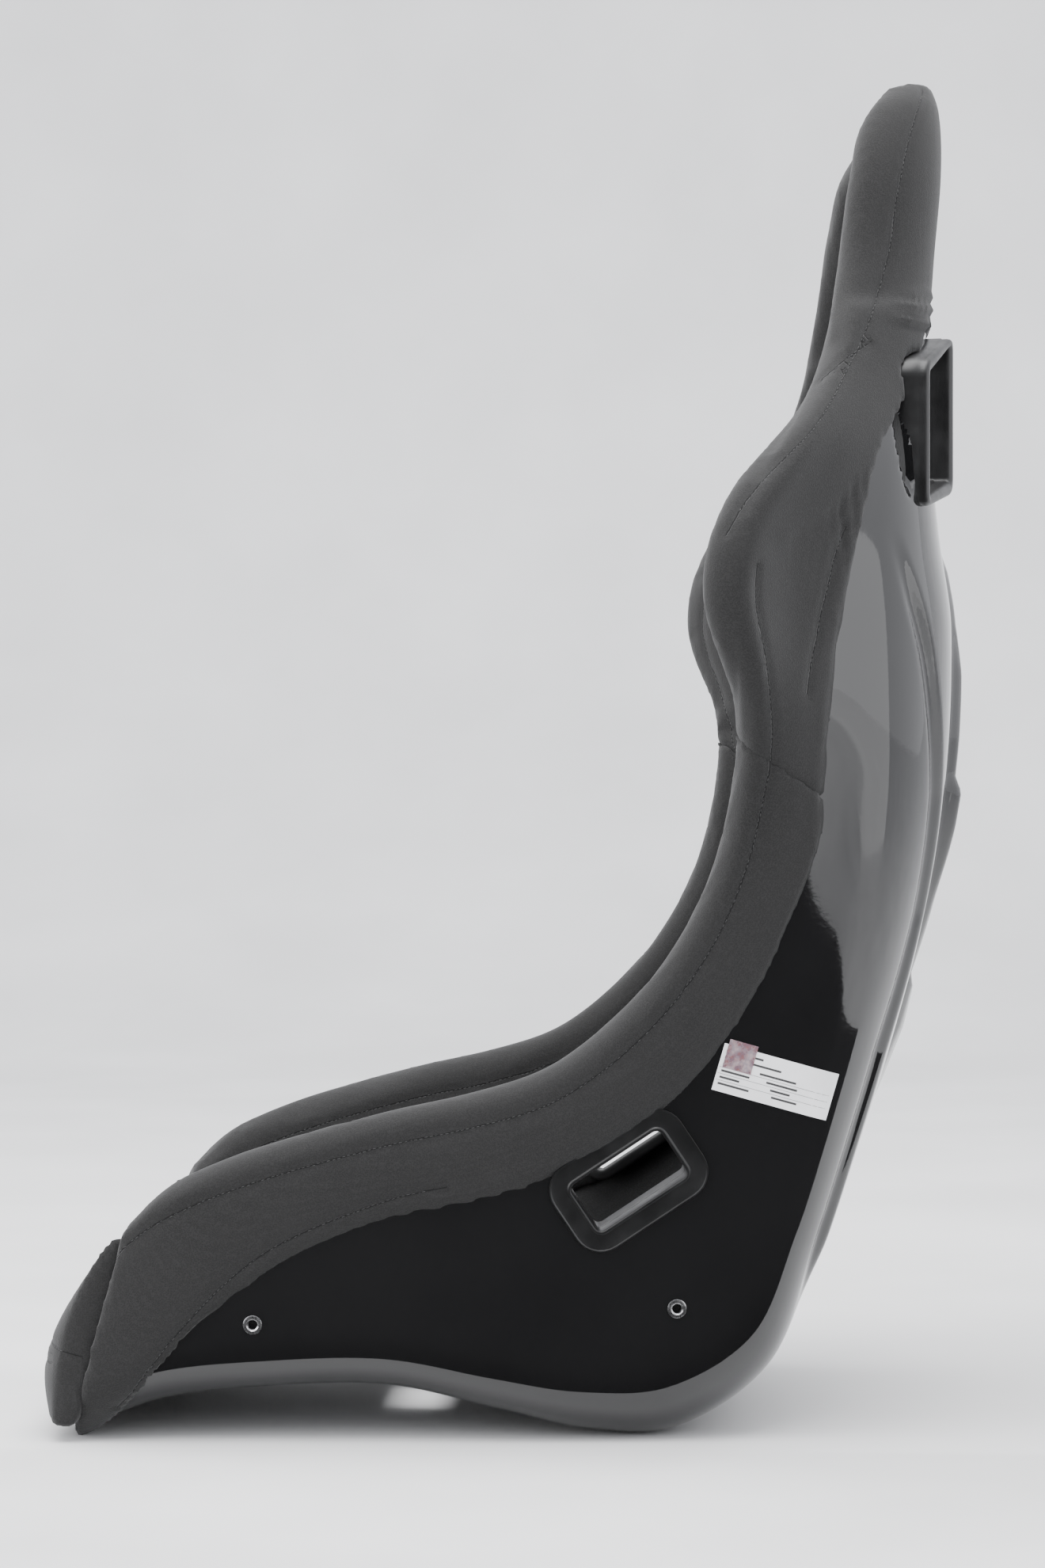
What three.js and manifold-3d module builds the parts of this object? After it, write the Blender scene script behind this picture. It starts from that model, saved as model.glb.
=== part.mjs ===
// A fixed-back racing seat: a laminated bucket shell with padded fabric bolsters around its rim,
// loose cushions, moulded belt-slot bezels and four threaded side inserts.
// Millimetres, +Z up. The seat faces -Y, and +X is the occupant's left.
import * as THREE from 'three';
import Module from 'manifold-3d';
import { mergeVertices } from 'three/addons/utils/BufferGeometryUtils.js';

const wasm = await Module();
wasm.setup();

// ---------------------------------------------------------------- driving dimensions
const DEG = Math.PI / 180;
const FRAME_SHIFT = [0, 30, -85.5]; // moves the layout below so that the origin is midway between the side inserts

// Stations along the shell from the front lip, under the thighs, up the back to the head.
// back and rim are [y, z] on the centreline and on the rim; half is the rim's half-width.
// corner is the radius between back and side wall, wall the side wall's angle, flare its outward lean.
const STATIONS = [
  { back: [-303, -2], rim: [-266, 133], half: 200, corner: 42, wall: 86, flare: 0 },
  { back: [-243, 22], rim: [-232, 160], half: 208, corner: 44, wall: 86, flare: 0 },
  { back: [-174, 31], rim: [-172, 185], half: 212, corner: 45, wall: 86, flare: 0 },
  { back: [-88, 33], rim: [-88, 209], half: 214, corner: 46, wall: 86, flare: 0 },
  { back: [-12, 17], rim: [-28, 222], half: 215, corner: 48, wall: 86, flare: 0 },
  { back: [55, 1], rim: [20, 236], half: 215, corner: 52, wall: 85, flare: 0 },
  { back: [118, 2], rim: [55, 256], half: 216, corner: 56, wall: 84, flare: 0 },
  { back: [180, 44], rim: [88, 284], half: 217, corner: 60, wall: 83, flare: 0 },
  { back: [212, 119], rim: [115, 315], half: 218, corner: 62, wall: 82, flare: 0 },
  { back: [238, 196], rim: [138, 352], half: 220, corner: 66, wall: 81, flare: 1 },
  { back: [261, 268], rim: [155, 395], half: 224, corner: 72, wall: 80, flare: 5 },
  { back: [281, 340], rim: [165, 440], half: 232, corner: 82, wall: 79, flare: 12 },
  { back: [296, 412], rim: [170, 484], half: 249, corner: 94, wall: 77, flare: 26 },
  { back: [304, 483], rim: [164, 530], half: 272, corner: 106, wall: 76, flare: 43 },
  { back: [306, 552], rim: [155, 579], half: 285, corner: 114, wall: 75, flare: 52 },
  { back: [302, 616], rim: [166, 625], half: 278, corner: 117, wall: 75, flare: 49 },
  { back: [295, 682], rim: [198, 678], half: 247, corner: 110, wall: 75, flare: 29 },
  { back: [292, 748], rim: [229, 740], half: 190, corner: 90, wall: 76, flare: 8 },
  { back: [295, 815], rim: [242, 810], half: 156, corner: 68, wall: 78, flare: 1 },
  { back: [300, 880], rim: [250, 876], half: 143, corner: 58, wall: 78, flare: 0 },
  { back: [299, 924], rim: [258, 918], half: 124, corner: 46, wall: 78, flare: 0 },
  { back: [291, 943], rim: [271, 937], half: 98, corner: 26, wall: 78, flare: 0 },
];
const HEAD_END = STATIONS.length - 1;
const FLAT_END = 0.3; // section parameter where the flat back ends
const CORNER_END = 0.65; // and where the corner becomes the side wall
const MOST_CORNER = 0.85; // share of the section's depth that the corner may take
const FLARE_START = 0.35; // share of the depth where the flare begins

const WALL = 4; // laminate thickness
const GAP = 0.5; // clearance between touching pieces
const FACET_GAP = 3.2; // clearance between two curved sheets whose facets don't line up
const ROWS_PER_STATION = 1.5;
const COLUMNS = [0, 0.3, 0.42, 0.53, 0.65, 0.82, 1];

// Bolsters: how far the cover comes down the outside and the inside of the wall, by station.
const OUTER_REACH = [142, 113, 69, 54, 52, 52, 53, 55, 54, 52, 53, 57, 50, 57, 73, 76, 62, 78];
const INNER_REACH = [80, 85, 92, 98, 104, 110, 114, 110, 98, 90, 84, 80, 78, 80, 84, 76, 56, 40];
const OUTER_PAD = 8; // foam and cover outside the wall
const HEM_PAD = 4.5; // the cover's thickness at its outer hem
const INNER_PAD = 24; // foam inside the wall, at the rim
const INNER_PAD_EDGE = 9; // and at its lower edge
const RIM_PAD = 12; // foam above the rim
// Seams, as stations. Each lies on a row that all pieces share.
const HEEL_SEAM = 22 / 3; // between pan lining and back lining
const WAIST_SEAM = 35 / 3; // between lower and shoulder bolsters
const NECK_SEAM = 50 / 3; // between shoulder bolster and head roll
const HEAD_SEAM = 52 / 3; // between back lining and head pad
const SEAM = 0.015; // half a seam's gap, in stations

const LINER_PAD = 9; // thin quilted lining of pan and back
const TAPE = 2; // thickness of a mated hook-and-loop strip
const TAPE_GAP = 1.2; // clearance on each side of a strip

// Belt slots: centre, the direction of the long axis, sizes of flange and opening.
const LAP_SLOT = { y: 82, z: 179.5, tilt: 33.5, flange: [104, 68], corner: 20, opening: [73.4, 38] };
const TUBE_WALL = 2.5;
const FLANGE_THICK = 2.5;
const SHOULDER_SLOT = {
  outer: [[84, 655], [166, 640], [166, 742], [84, 768]], // [x, z] corners of the raised rim
  rim: 9,
  stand: 13, // how far the rim stands off the shell
  yaw: 17, // degrees that the face turns towards the side
};
const CROTCH_SLOT = { y: -70, flange: [128, 62], corner: 16, opening: [96, 30] };

// Threaded side inserts, M8, 290 mm apart.
const INSERTS = { front: [-175, 80], rear: [115, 91] };
const INSERT = { bore: 3.3, body: 5.6, flange: 6.65, flangeThick: 1.1, length: 13 };
const PLATE = { size: [60, 24], corner: 5, thick: 2.5, back: 1.4, lift: 5 };

const LABEL = { y: 182, z: 246.5, tilt: -16, size: [81.5, 33], lift: 1.5, thick: 0.5 };
const STICKER = { y: 158, z: 264, tilt: -16, size: [20, 20], lift: 2.4, thick: 0.5 };

// ---------------------------------------------------------------- materials
const finish = (color, roughness, metalness = 0) =>
  new THREE.MeshStandardMaterial({ color, roughness, metalness });
const GELCOAT = finish(0x0a0a0b, 0.08);
const FABRIC = finish(0x3b3b3d, 0.92);
const PLASTIC = finish(0x151516, 0.45);
const STEEL = finish(0x9a9c9f, 0.3, 1);
const TAPE_BLACK = finish(0x111112, 0.95);
const LABEL_WHITE = finish(0xe4e5e6, 0.5);
const STICKER_PINK = finish(0xb98f95, 0.25, 0.4);

// ---------------------------------------------------------------- the shell's surface
function spline(knots, t) {
  const last = knots.length - 1;
  const i = Math.min(Math.max(Math.floor(t), 0), last - 1);
  const f = t - i;
  const [a, b, c, d] = [i - 1, i, i + 1, i + 2].map((k) => knots[Math.min(Math.max(k, 0), last)]);
  const cubic = 3 * b - a - 3 * c + d;
  const square = 2 * a - 5 * b + 4 * c - d;
  return 0.5 * (2 * b + (c - a) * f + square * f * f + cubic * f * f * f);
}

const column = (name, k) => STATIONS.map((s) => (k === undefined ? s[name] : s[name][k]));
const TRACKS = {
  backY: column('back', 0),
  backZ: column('back', 1),
  rimY: column('rim', 0),
  rimZ: column('rim', 1),
  half: column('half'),
  corner: column('corner'),
  wall: column('wall'),
  flare: column('flare'),
};

// One section: flat back, round corner, straight side wall, in the plane through back and rim points.
function section(u) {
  const s = Object.fromEntries(Object.entries(TRACKS).map(([name, knots]) => [name, spline(knots, u)]));
  const depth = Math.hypot(s.rimY - s.backY, s.rimZ - s.backZ);
  const most = Math.acos(1 - Math.min((MOST_CORNER * depth) / s.corner, 1));
  const turn = Math.min(s.wall * DEG, most);
  const rise = s.corner * (1 - Math.cos(turn));
  const straight = (depth - rise) / Math.sin(turn);
  const run = s.corner * Math.sin(turn);
  const flat = s.half - s.flare - run - straight * Math.cos(turn);
  const lean = [(s.rimY - s.backY) / depth, (s.rimZ - s.backZ) / depth];
  return { ...s, depth, turn, rise, straight, run, flat, lean };
}

// A point of the outer surface. v runs from -1 (right rim) over 0 (centreline) to 1 (left rim).
function shellPoint(u, v) {
  const s = section(u);
  const w = Math.abs(v);
  let x = (s.flat * w) / FLAT_END;
  let h = 0;
  if (w > CORNER_END) {
    const along = (s.straight * (w - CORNER_END)) / (1 - CORNER_END);
    x = s.flat + s.run + along * Math.cos(s.turn);
    h = s.rise + along * Math.sin(s.turn);
  } else if (w > FLAT_END) {
    const angle = (s.turn * (w - FLAT_END)) / (CORNER_END - FLAT_END);
    x = s.flat + s.corner * Math.sin(angle);
    h = s.corner * (1 - Math.cos(angle));
  }
  const lean = Math.max(0, (h / s.depth - FLARE_START) / (1 - FLARE_START));
  x += s.flare * lean * lean;
  return new THREE.Vector3(Math.sign(v) * x, s.backY + s.lean[0] * h, s.backZ + s.lean[1] * h);
}

function shellNormal(u, v) {
  const step = 1e-3;
  const middle = Math.min(Math.max(u, step), HEAD_END - step);
  const [u0, u1] = [middle - step, middle + step];
  const along = shellPoint(u1, v).sub(shellPoint(u0, v));
  const across = shellPoint(u, v + step).sub(shellPoint(u, v - step));
  return along.cross(across).normalize();
}

function offsetPoint(u, v, distance) {
  return shellPoint(u, v).addScaledVector(shellNormal(u, v), distance);
}

// The section parameter at a distance down the surface from the rim; negative is above the rim.
function belowRim(u, distance) {
  const s = section(u);
  const cornerLength = s.corner * s.turn;
  if (distance < s.straight) return 1 - ((1 - CORNER_END) * distance) / s.straight;
  const past = distance - s.straight;
  if (past < cornerLength) return CORNER_END - ((CORNER_END - FLAT_END) * past) / cornerLength;
  return FLAT_END * (1 - (past - cornerLength) / s.flat);
}

// Finds [u, v] on the left half where the surface meets two wanted coordinates.
function locate(axes, wanted, start) {
  let best = start;
  const miss = ([u, v]) => {
    const p = shellPoint(Math.min(Math.max(u, 0), HEAD_END), Math.min(Math.max(v, 0.01), 1.05));
    return Math.hypot(p[axes[0]] - wanted[0], p[axes[1]] - wanted[1]);
  };
  for (let step = 0.5; step > 1e-5; ) {
    const near = [[step, 0], [-step, 0], [0, step * 0.1], [0, -step * 0.1]];
    const tried = near.map(([du, dv]) => [best[0] + du, best[1] + dv]);
    const next = tried.reduce((a, b) => (miss(a) < miss(b) ? a : b));
    if (miss(next) < miss(best)) best = next;
    else step /= 2;
  }
  return best;
}

// ---------------------------------------------------------------- solids
// Splits a ring's closed polygon into triangles, in the plane that fits it best.
function capOf(ring) {
  const normal = new THREE.Vector3();
  ring.forEach((p, i) => normal.add(p.clone().cross(ring[(i + 1) % ring.length])));
  normal.normalize();
  const across = ring[1].clone().sub(ring[0]);
  across.addScaledVector(normal, -across.dot(normal)).normalize();
  const up = normal.clone().cross(across);
  const flat = ring.map((p) => new THREE.Vector2(p.dot(across), p.dot(up)));
  return THREE.ShapeUtils.triangulateShape(flat, []);
}

// The triangles between the two halves of a ring that runs out along a sheet and back again.
function stripCap(ring) {
  const last = ring.length - 1;
  const steps = Array.from({ length: (last - 1) / 2 }, (_, k) => k);
  return steps.flatMap((k) => [
    [k, k + 1, last - k],
    [k + 1, last - k - 1, last - k],
  ]);
}

// Joins rings of equal length into a closed solid.
// rising says, for each place in a ring, which way its quads are split.
function loft(rings, rising = () => true, cap = capOf) {
  const count = rings[0].length;
  const vertices = rings.flat().flatMap((p) => p.toArray());
  const index = [];
  for (let r = 0; r + 1 < rings.length; r += 1) {
    for (let k = 0; k < count; k += 1) {
      const next = (k + 1) % count;
      const [a, b] = [r * count + k, r * count + next];
      if (rising(k)) index.push(a, b, b + count, a, b + count, a + count);
      else index.push(a, b, a + count, b, b + count, a + count);
    }
  }
  const last = (rings.length - 1) * count;
  for (const [a, b, c] of cap(rings[0])) index.push(c, b, a);
  for (const [a, b, c] of cap(rings.at(-1))) index.push(a + last, b + last, c + last);
  const geometry = new THREE.BufferGeometry();
  geometry.setAttribute('position', new THREE.Float32BufferAttribute(vertices, 3));
  geometry.setIndex(index);
  return facingOut(geometry);
}

// Turns a closed geometry's faces outwards if its signed volume is negative.
function facingOut(geometry) {
  const p = geometry.attributes.position;
  const index = geometry.index.array;
  const [a, b, c] = [new THREE.Vector3(), new THREE.Vector3(), new THREE.Vector3()];
  let volume = 0;
  for (let i = 0; i < index.length; i += 3) {
    a.fromBufferAttribute(p, index[i]);
    b.fromBufferAttribute(p, index[i + 1]);
    c.fromBufferAttribute(p, index[i + 2]);
    volume += a.dot(b.cross(c));
  }
  if (volume < 0) geometry.setIndex(Array.from(index).reverse());
  return geometry;
}

function solid(geometry) {
  const bare = geometry.clone();
  bare.deleteAttribute('normal');
  bare.deleteAttribute('uv');
  const merged = facingOut(mergeVertices(bare, 1e-4));
  const mesh = new wasm.Mesh({
    numProp: 3,
    vertProperties: new Float32Array(merged.attributes.position.array),
    triVerts: new Uint32Array(merged.index.array),
  });
  return new wasm.Manifold(mesh);
}

function geometryOf(manifold) {
  const mesh = manifold.getMesh();
  const geometry = new THREE.BufferGeometry();
  geometry.setAttribute('position', new THREE.Float32BufferAttribute(mesh.vertProperties, 3));
  geometry.setIndex(Array.from(mesh.triVerts));
  return geometry;
}

const without = (body, ...tools) => tools.reduce((rest, tool) => rest.subtract(tool), body);

// The largest connected piece, so that no crumb of a cut stays behind.
function largest(body) {
  return body.decompose().reduce((a, b) => (a.volume() > b.volume() ? a : b));
}

function mirrored(geometry) {
  return facingOut(geometry.clone().scale(-1, 1, 1));
}

// A sheet between two offsets of the shell, over rows of u and section parameters v.
function sheet(rows, vs, near, far) {
  const rings = rows.map((u) => {
    const at = typeof vs === 'function' ? vs(u) : vs;
    const first = at.map((v) => offsetPoint(u, v, near));
    const second = at.map((v) => offsetPoint(u, v, far)).reverse();
    return [...first, ...second];
  });
  const count = rings[0].length / 2;
  // splitting the quads alike on both sides keeps the sheet symmetrical, and parallel to its neighbours
  return loft(rings, (k) => k % count >= (count - 1) / 2, stripCap);
}

// Rows from one station to another: the two ends, and between them the rows that every piece shares.
function rowsBetween(from, to) {
  const first = Math.floor(from * ROWS_PER_STATION) + 1;
  const count = Math.ceil(to * ROWS_PER_STATION) - first;
  const shared = Array.from({ length: count }, (_, i) => (first + i) / ROWS_PER_STATION);
  const apart = shared.filter((u) => u - from > 0.1 && to - u > 0.1);
  return [from, ...apart, to];
}

const acrossSeat = [...COLUMNS.slice(1).map((v) => -v).reverse(), ...COLUMNS];

// ---------------------------------------------------------------- flat frames, prisms and plates
// A frame at a surface point: x and y axes in the plate's plane, z along its outward normal.
function frameAt(origin, normal, xAxis) {
  const z = normal.clone().normalize();
  const x = xAxis.clone().addScaledVector(z, -xAxis.dot(z)).normalize();
  const y = z.clone().cross(x);
  return new THREE.Matrix4().makeBasis(x, y, z).setPosition(origin);
}

function roundedOutline([width, height], radius, grow = 0) {
  const [a, b] = [width / 2 + grow, height / 2 + grow];
  const r = radius + grow;
  const shape = new THREE.Shape();
  shape.moveTo(a - r, -b);
  shape.absarc(a - r, -b + r, r, -Math.PI / 2, 0);
  shape.absarc(a - r, b - r, r, 0, Math.PI / 2);
  shape.absarc(-a + r, b - r, r, Math.PI / 2, Math.PI);
  shape.absarc(-a + r, -b + r, r, Math.PI, 1.5 * Math.PI);
  return shape;
}

function prism(shape, frame, from, to, curveSegments = 2) {
  const geometry = new THREE.ExtrudeGeometry(shape, { depth: to - from, bevelEnabled: false, curveSegments });
  geometry.translate(0, 0, from);
  return solid(geometry.applyMatrix4(frame));
}

// ---------------------------------------------------------------- shell
const shellRows = rowsBetween(0, HEAD_END);
const grownRows = [-0.02, ...shellRows, HEAD_END + 0.1];
const grownColumns = [-1.02, ...acrossSeat, 1.02];
const plainShell = solid(sheet(shellRows, acrossSeat, 0, -WALL));
// cuts what touches the shell, and what must stay outside it
const GROWN = solid(sheet(grownRows, grownColumns, 2 * GAP, -WALL - 2 * GAP));
const DEEP = solid(sheet(grownRows, grownColumns, GAP, -WALL - 30));

function sideFrame(y, z, tilt = 0) {
  const [u, v] = locate(['y', 'z'], [y, z], [5, 0.8]);
  const along = new THREE.Vector3(0, Math.cos(tilt * DEG), Math.sin(tilt * DEG));
  return frameAt(shellPoint(u, v), shellNormal(u, v), along);
}

const lapFrame = sideFrame(LAP_SLOT.y, LAP_SLOT.z, LAP_SLOT.tilt);
const crotchFrame = (() => {
  const [u] = locate(['x', 'y'], [0, CROTCH_SLOT.y], [3.3, 0.01]);
  return frameAt(shellPoint(u, 0), shellNormal(u, 0.01), new THREE.Vector3(1, 0, 0));
})();

// The shoulder slot's frame: its x axis runs outwards across the back, its y axis runs up.
const shoulderMiddle = SHOULDER_SLOT.outer.reduce((sum, [x, z]) => [sum[0] + x / 4, sum[1] + z / 4], [0, 0]);
const shoulderFrame = (() => {
  const [u, v] = locate(['x', 'z'], shoulderMiddle, [16, 0.5]);
  const yaw = SHOULDER_SLOT.yaw * DEG;
  const up = new THREE.Vector3(0, 0, 1);
  const out = new THREE.Vector3(Math.sin(yaw), Math.cos(yaw), 0);
  const x = up.clone().cross(out).negate();
  const origin = shellPoint(u, v);
  return new THREE.Matrix4().makeBasis(x.negate(), up, out).setPosition(origin);
})();

function shoulderOutline(grow) {
  const scale = Math.cos(SHOULDER_SLOT.yaw * DEG);
  const corners = SHOULDER_SLOT.outer.map(([x, z]) => [
    (shoulderMiddle[0] - x) / scale,
    z - shoulderMiddle[1],
  ]);
  const ring = corners.map(([x, y]) => new THREE.Vector2(x + Math.sign(x) * grow, y + Math.sign(y) * grow));
  return roundedPolygon(ring, 12 + grow);
}

// A polygon with each corner rounded by a quadratic arc that starts the given distance before it.
function roundedPolygon(points, cornerCut) {
  const shape = new THREE.Shape();
  points.forEach((p, i) => {
    const before = points[(i + points.length - 1) % points.length];
    const after = points[(i + 1) % points.length];
    const start = p.clone().lerp(before, cornerCut / p.distanceTo(before));
    const end = p.clone().lerp(after, cornerCut / p.distanceTo(after));
    if (i === 0) shape.moveTo(start.x, start.y);
    else shape.lineTo(start.x, start.y);
    shape.quadraticCurveTo(p.x, p.y, end.x, end.y);
  });
  shape.closePath();
  return shape;
}

const lapOpening = (grow) => roundedOutline(LAP_SLOT.opening, 5, grow);
const lapFlange = (grow) => roundedOutline(LAP_SLOT.flange, LAP_SLOT.corner, grow);
const crotchOpening = (grow) => roundedOutline(CROTCH_SLOT.opening, 8, grow);
const crotchFlange = (grow) => roundedOutline(CROTCH_SLOT.flange, CROTCH_SLOT.corner, grow);
const shoulderOpening = (grow) => shoulderOutline(grow - SHOULDER_SLOT.rim);

// stand is how far a bezel stands off the shell, meet where its two halves meet, and inside how deep
// the padding lies under the inside half's flange.
const SLOTS = {
  lap: { frame: lapFrame, opening: lapOpening, flange: lapFlange, stand: FLANGE_THICK, meet: -10, inside: 24 },
  shoulder: {
    frame: shoulderFrame,
    opening: shoulderOpening,
    flange: shoulderOutline,
    stand: SHOULDER_SLOT.stand,
    meet: -16,
    inside: 21,
  },
  crotch: {
    frame: crotchFrame,
    opening: crotchOpening,
    flange: crotchFlange,
    stand: FLANGE_THICK,
    meet: -8,
    inside: 9.5,
  },
};

const tubeHole = (slot, grow, from = -80, to = 60) =>
  prism(slot.opening(TUBE_WALL + grow), slot.frame, from, to);

const insertFrames = Object.fromEntries(
  Object.entries(INSERTS).map(([name, [y, z]]) => [name, sideFrame(y, z)]),
);

function disc(radius, frame, from, to, segments = 10) {
  const geometry = new THREE.CylinderGeometry(radius, radius, to - from, segments);
  geometry.rotateX(Math.PI / 2);
  geometry.translate(0, 0, (from + to) / 2);
  return solid(geometry.applyMatrix4(frame));
}

const flip = (manifold) => solid(mirrored(geometryOf(manifold)));
const bothSides = (manifold) => [manifold, flip(manifold)];

function shell() {
  const holes = Object.values(insertFrames).flatMap((frame) =>
    bothSides(disc(INSERT.body + GAP, frame, -WALL - 5, 5)),
  );
  const slots = [
    ...bothSides(tubeHole(SLOTS.lap, GAP)),
    ...bothSides(tubeHole(SLOTS.shoulder, GAP)),
    tubeHole(SLOTS.crotch, GAP),
  ];
  return without(plainShell, ...holes, ...slots);
}

// ---------------------------------------------------------------- belt-slot bezels
// The outside half: a flange on the shell and a tube through it.
function outerBezel(slot) {
  const flange = prism(slot.flange(0), slot.frame, -12, slot.stand).subtract(DEEP);
  const tube = prism(slot.opening(TUBE_WALL), slot.frame, slot.meet, slot.stand);
  const body = flange.add(tube.subtract(DEEP.subtract(tubeHole(slot, 0))));
  return largest(body.subtract(prism(slot.opening(0), slot.frame, -80, 60)));
}

// The inside half: a flange on the padding and a sleeve that meets the outside half's tube.
function innerBezel(slot) {
  const face = -WALL - slot.inside;
  const flange = prism(slot.flange(-6), slot.frame, face, face + FLANGE_THICK);
  const sleeve = prism(slot.opening(TUBE_WALL), slot.frame, face, slot.meet - GAP);
  return flange.add(sleeve).subtract(prism(slot.opening(0), slot.frame, -90, 60));
}

// Room for a bezel in the padding: its sleeve, and a recess for its inside flange.
function bezelRoom(slot) {
  const face = -WALL - slot.inside;
  const recess = prism(slot.flange(-6 + GAP), slot.frame, face - 60, face + FLANGE_THICK + GAP);
  return recess.add(tubeHole(slot, GAP, -80, 0));
}

// ---------------------------------------------------------------- side inserts
// A flanged nut turned in one piece, its flange lying on the shell's outer face.
function insertBody(frame) {
  const { bore, body, flange, flangeThick, length } = INSERT;
  const [back, face] = [GAP - length, GAP + flangeThick];
  const profile = [[bore, back], [body, back], [body, GAP], [flange, GAP], [flange, face], [bore, face], [bore, back]];
  const geometry = new THREE.LatheGeometry(profile.map(([r, along]) => new THREE.Vector2(r, along)), 16);
  return solid(geometry.rotateX(Math.PI / 2).applyMatrix4(frame));
}

// A plate's frame sits a little above its insert, clear of the shell's rounded lower edge.
const plateFrame = (frame) => frame.clone().multiply(new THREE.Matrix4().makeTranslation(0, PLATE.lift, 0));

function backingPlate(frame) {
  const outside = -WALL - PLATE.back;
  const outline = roundedOutline(PLATE.size, PLATE.corner);
  const plate = prism(outline, plateFrame(frame), outside - PLATE.thick, outside);
  return plate.subtract(disc(INSERT.body + GAP, frame, -40, 40));
}

function insertRoom(frame) {
  const outline = roundedOutline(PLATE.size, PLATE.corner, GAP);
  const plate = prism(outline, plateFrame(frame), -WALL - PLATE.back - PLATE.thick - GAP, -1);
  return plate.add(disc(INSERT.body + GAP, frame, -INSERT.length - GAP, 0));
}

const insertRooms = Object.values(insertFrames).map(insertRoom);

// ---------------------------------------------------------------- bolsters
// The closed outline of a bolster around the rim, as [distance below the rim, offset outwards].
function bolsterOutline(u) {
  const outer = spline(OUTER_REACH, u);
  const inner = spline(INNER_REACH, u);
  const insideFace = -WALL - INNER_PAD;
  const middle = (OUTER_PAD + insideFace) / 2;
  const radius = (OUTER_PAD - insideFace) / 2;
  const outside = [1, 0.8, 0.6, 0.4, 0.2, 0].map((k) => {
    return [outer * k, k === 1 ? HEM_PAD : OUTER_PAD * (1 - 0.4 * k)];
  });
  const crown = [30, 60, 90, 120, 150].map((a) => [
    -RIM_PAD * Math.sin(a * DEG),
    middle + radius * Math.cos(a * DEG),
  ]);
  const thin = INNER_PAD - INNER_PAD_EDGE;
  const inside = [0, 0.33, 0.66, 1].map((k) => [inner * k, insideFace + thin * k * k]);
  const core = [0, 0.25, 0.5, 0.75, 1].map((k) => [inner + (outer - inner) * k, -WALL / 2]);
  return [...outside, ...crown, ...inside, ...core];
}

function bolster(from, to) {
  const rows = rowsBetween(from, to);
  const rings = rows.map((u) => bolsterOutline(u).map(([below, out]) => offsetPoint(u, belowRim(u, below), out)));
  return solid(loft(rings));
}

function lowerBolster() {
  const rooms = [bezelRoom(SLOTS.lap), prism(lapFlange(GAP), lapFrame, 0, 20), ...insertRooms];
  const front = frontRoll().translate([0, GAP, 0]);
  // the shell is cut away twice, because a tightly bent bolster overlaps itself
  return largest(without(bolster(0, WAIST_SEAM - SEAM), GROWN, GROWN, front, ...rooms));
}

function shoulderBolster() {
  const outsideFlange = prism(shoulderOutline(GAP), shoulderFrame, -14, 40);
  return largest(without(bolster(WAIST_SEAM + SEAM, NECK_SEAM), GROWN, bezelRoom(SLOTS.shoulder), outsideFlange));
}

// ---------------------------------------------------------------- head
// The padded roll around the head's edge: up the left side, over the top, down the right side.
function headRollFrames() {
  const sides = rowsBetween(NECK_SEAM, HEAD_END - 0.7).map((u) => [u, 1]);
  const top = [[HEAD_END - 0.2, 0.9], [HEAD_END, 0.5], [HEAD_END, 0.25], [HEAD_END, 0]];
  const left = [...sides, ...top];
  const right = left.slice(0, -1).map(([u, v]) => [u, -v]).reverse();
  const path = [...left, ...right];
  const points = path.map(([u, v]) => shellPoint(u, v));
  return path.map(([u, v], i) => {
    const [before, after] = [Math.max(i - 1, 0), Math.min(i + 1, path.length - 1)];
    const along = points[after].clone().sub(points[before]).normalize();
    const normal = shellNormal(u, v);
    normal.addScaledVector(along, -normal.dot(along)).normalize();
    return { origin: points[i], normal, out: normal.clone().cross(along) };
  });
}

function headRoll(grow = 0) {
  const sides = 10;
  const steps = Array.from({ length: sides }, (_, k) => (k / sides) * 2 * Math.PI);
  const outline = steps.map((a) => [
    2 - (14 + grow) * Math.cos(a), // below the edge
    -WALL / 2 - 5 + (16.5 + grow) * Math.sin(a), // offset outwards
  ]);
  const rings = headRollFrames().map(({ origin, normal, out }) =>
    outline.map(([below, away]) => origin.clone().addScaledVector(out, -below).addScaledVector(normal, away)),
  );
  return solid(loft(rings));
}

function headEdgeRoll() {
  const below = bothSides(bolster(WAIST_SEAM + SEAM, NECK_SEAM));
  const raised = below.map((body) => body.translate([0, 0, 2 * GAP]));
  return largest(without(headRoll(), GROWN, GROWN, plainShell, ...below, ...raised));
}

const HEAD_ROLL_REACH = 21; // distance from the rim that the roll takes up
const headColumns = (u) => acrossSeat.map((v) => v * belowRim(u, HEAD_ROLL_REACH));

const HEAD_SHEET_END = 20; // station where the head's two broad pieces end under the roll

function headPad() {
  const rows = rowsBetween(HEAD_SEAM + SEAM, HEAD_SHEET_END);
  return largest(solid(sheet(rows, headColumns, -WALL - FACET_GAP, -WALL - 20)).subtract(headRoll(2 * GAP)));
}

function headBackCover() {
  const rows = rowsBetween(HEAD_SEAM, HEAD_SHEET_END);
  return largest(solid(sheet(rows, headColumns, FACET_GAP, 6)).subtract(headRoll(2 * GAP)));
}

// ---------------------------------------------------------------- linings and cushions
function lining(from, to, pad = LINER_PAD) {
  const rows = rowsBetween(from, to);
  const edge = (u) => belowRim(u, spline(INNER_REACH, u) + 5);
  const columns = (u) => acrossSeat.map((v) => v * edge(u));
  return solid(sheet(rows, columns, -WALL - FACET_GAP, -WALL - pad));
}

function panLining() {
  const rooms = [bezelRoom(SLOTS.crotch), ...bothSides(bezelRoom(SLOTS.lap)), ...insertRooms.flatMap(bothSides)];
  return largest(without(lining(2 / 3, HEEL_SEAM - SEAM), ...rooms));
}

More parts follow.
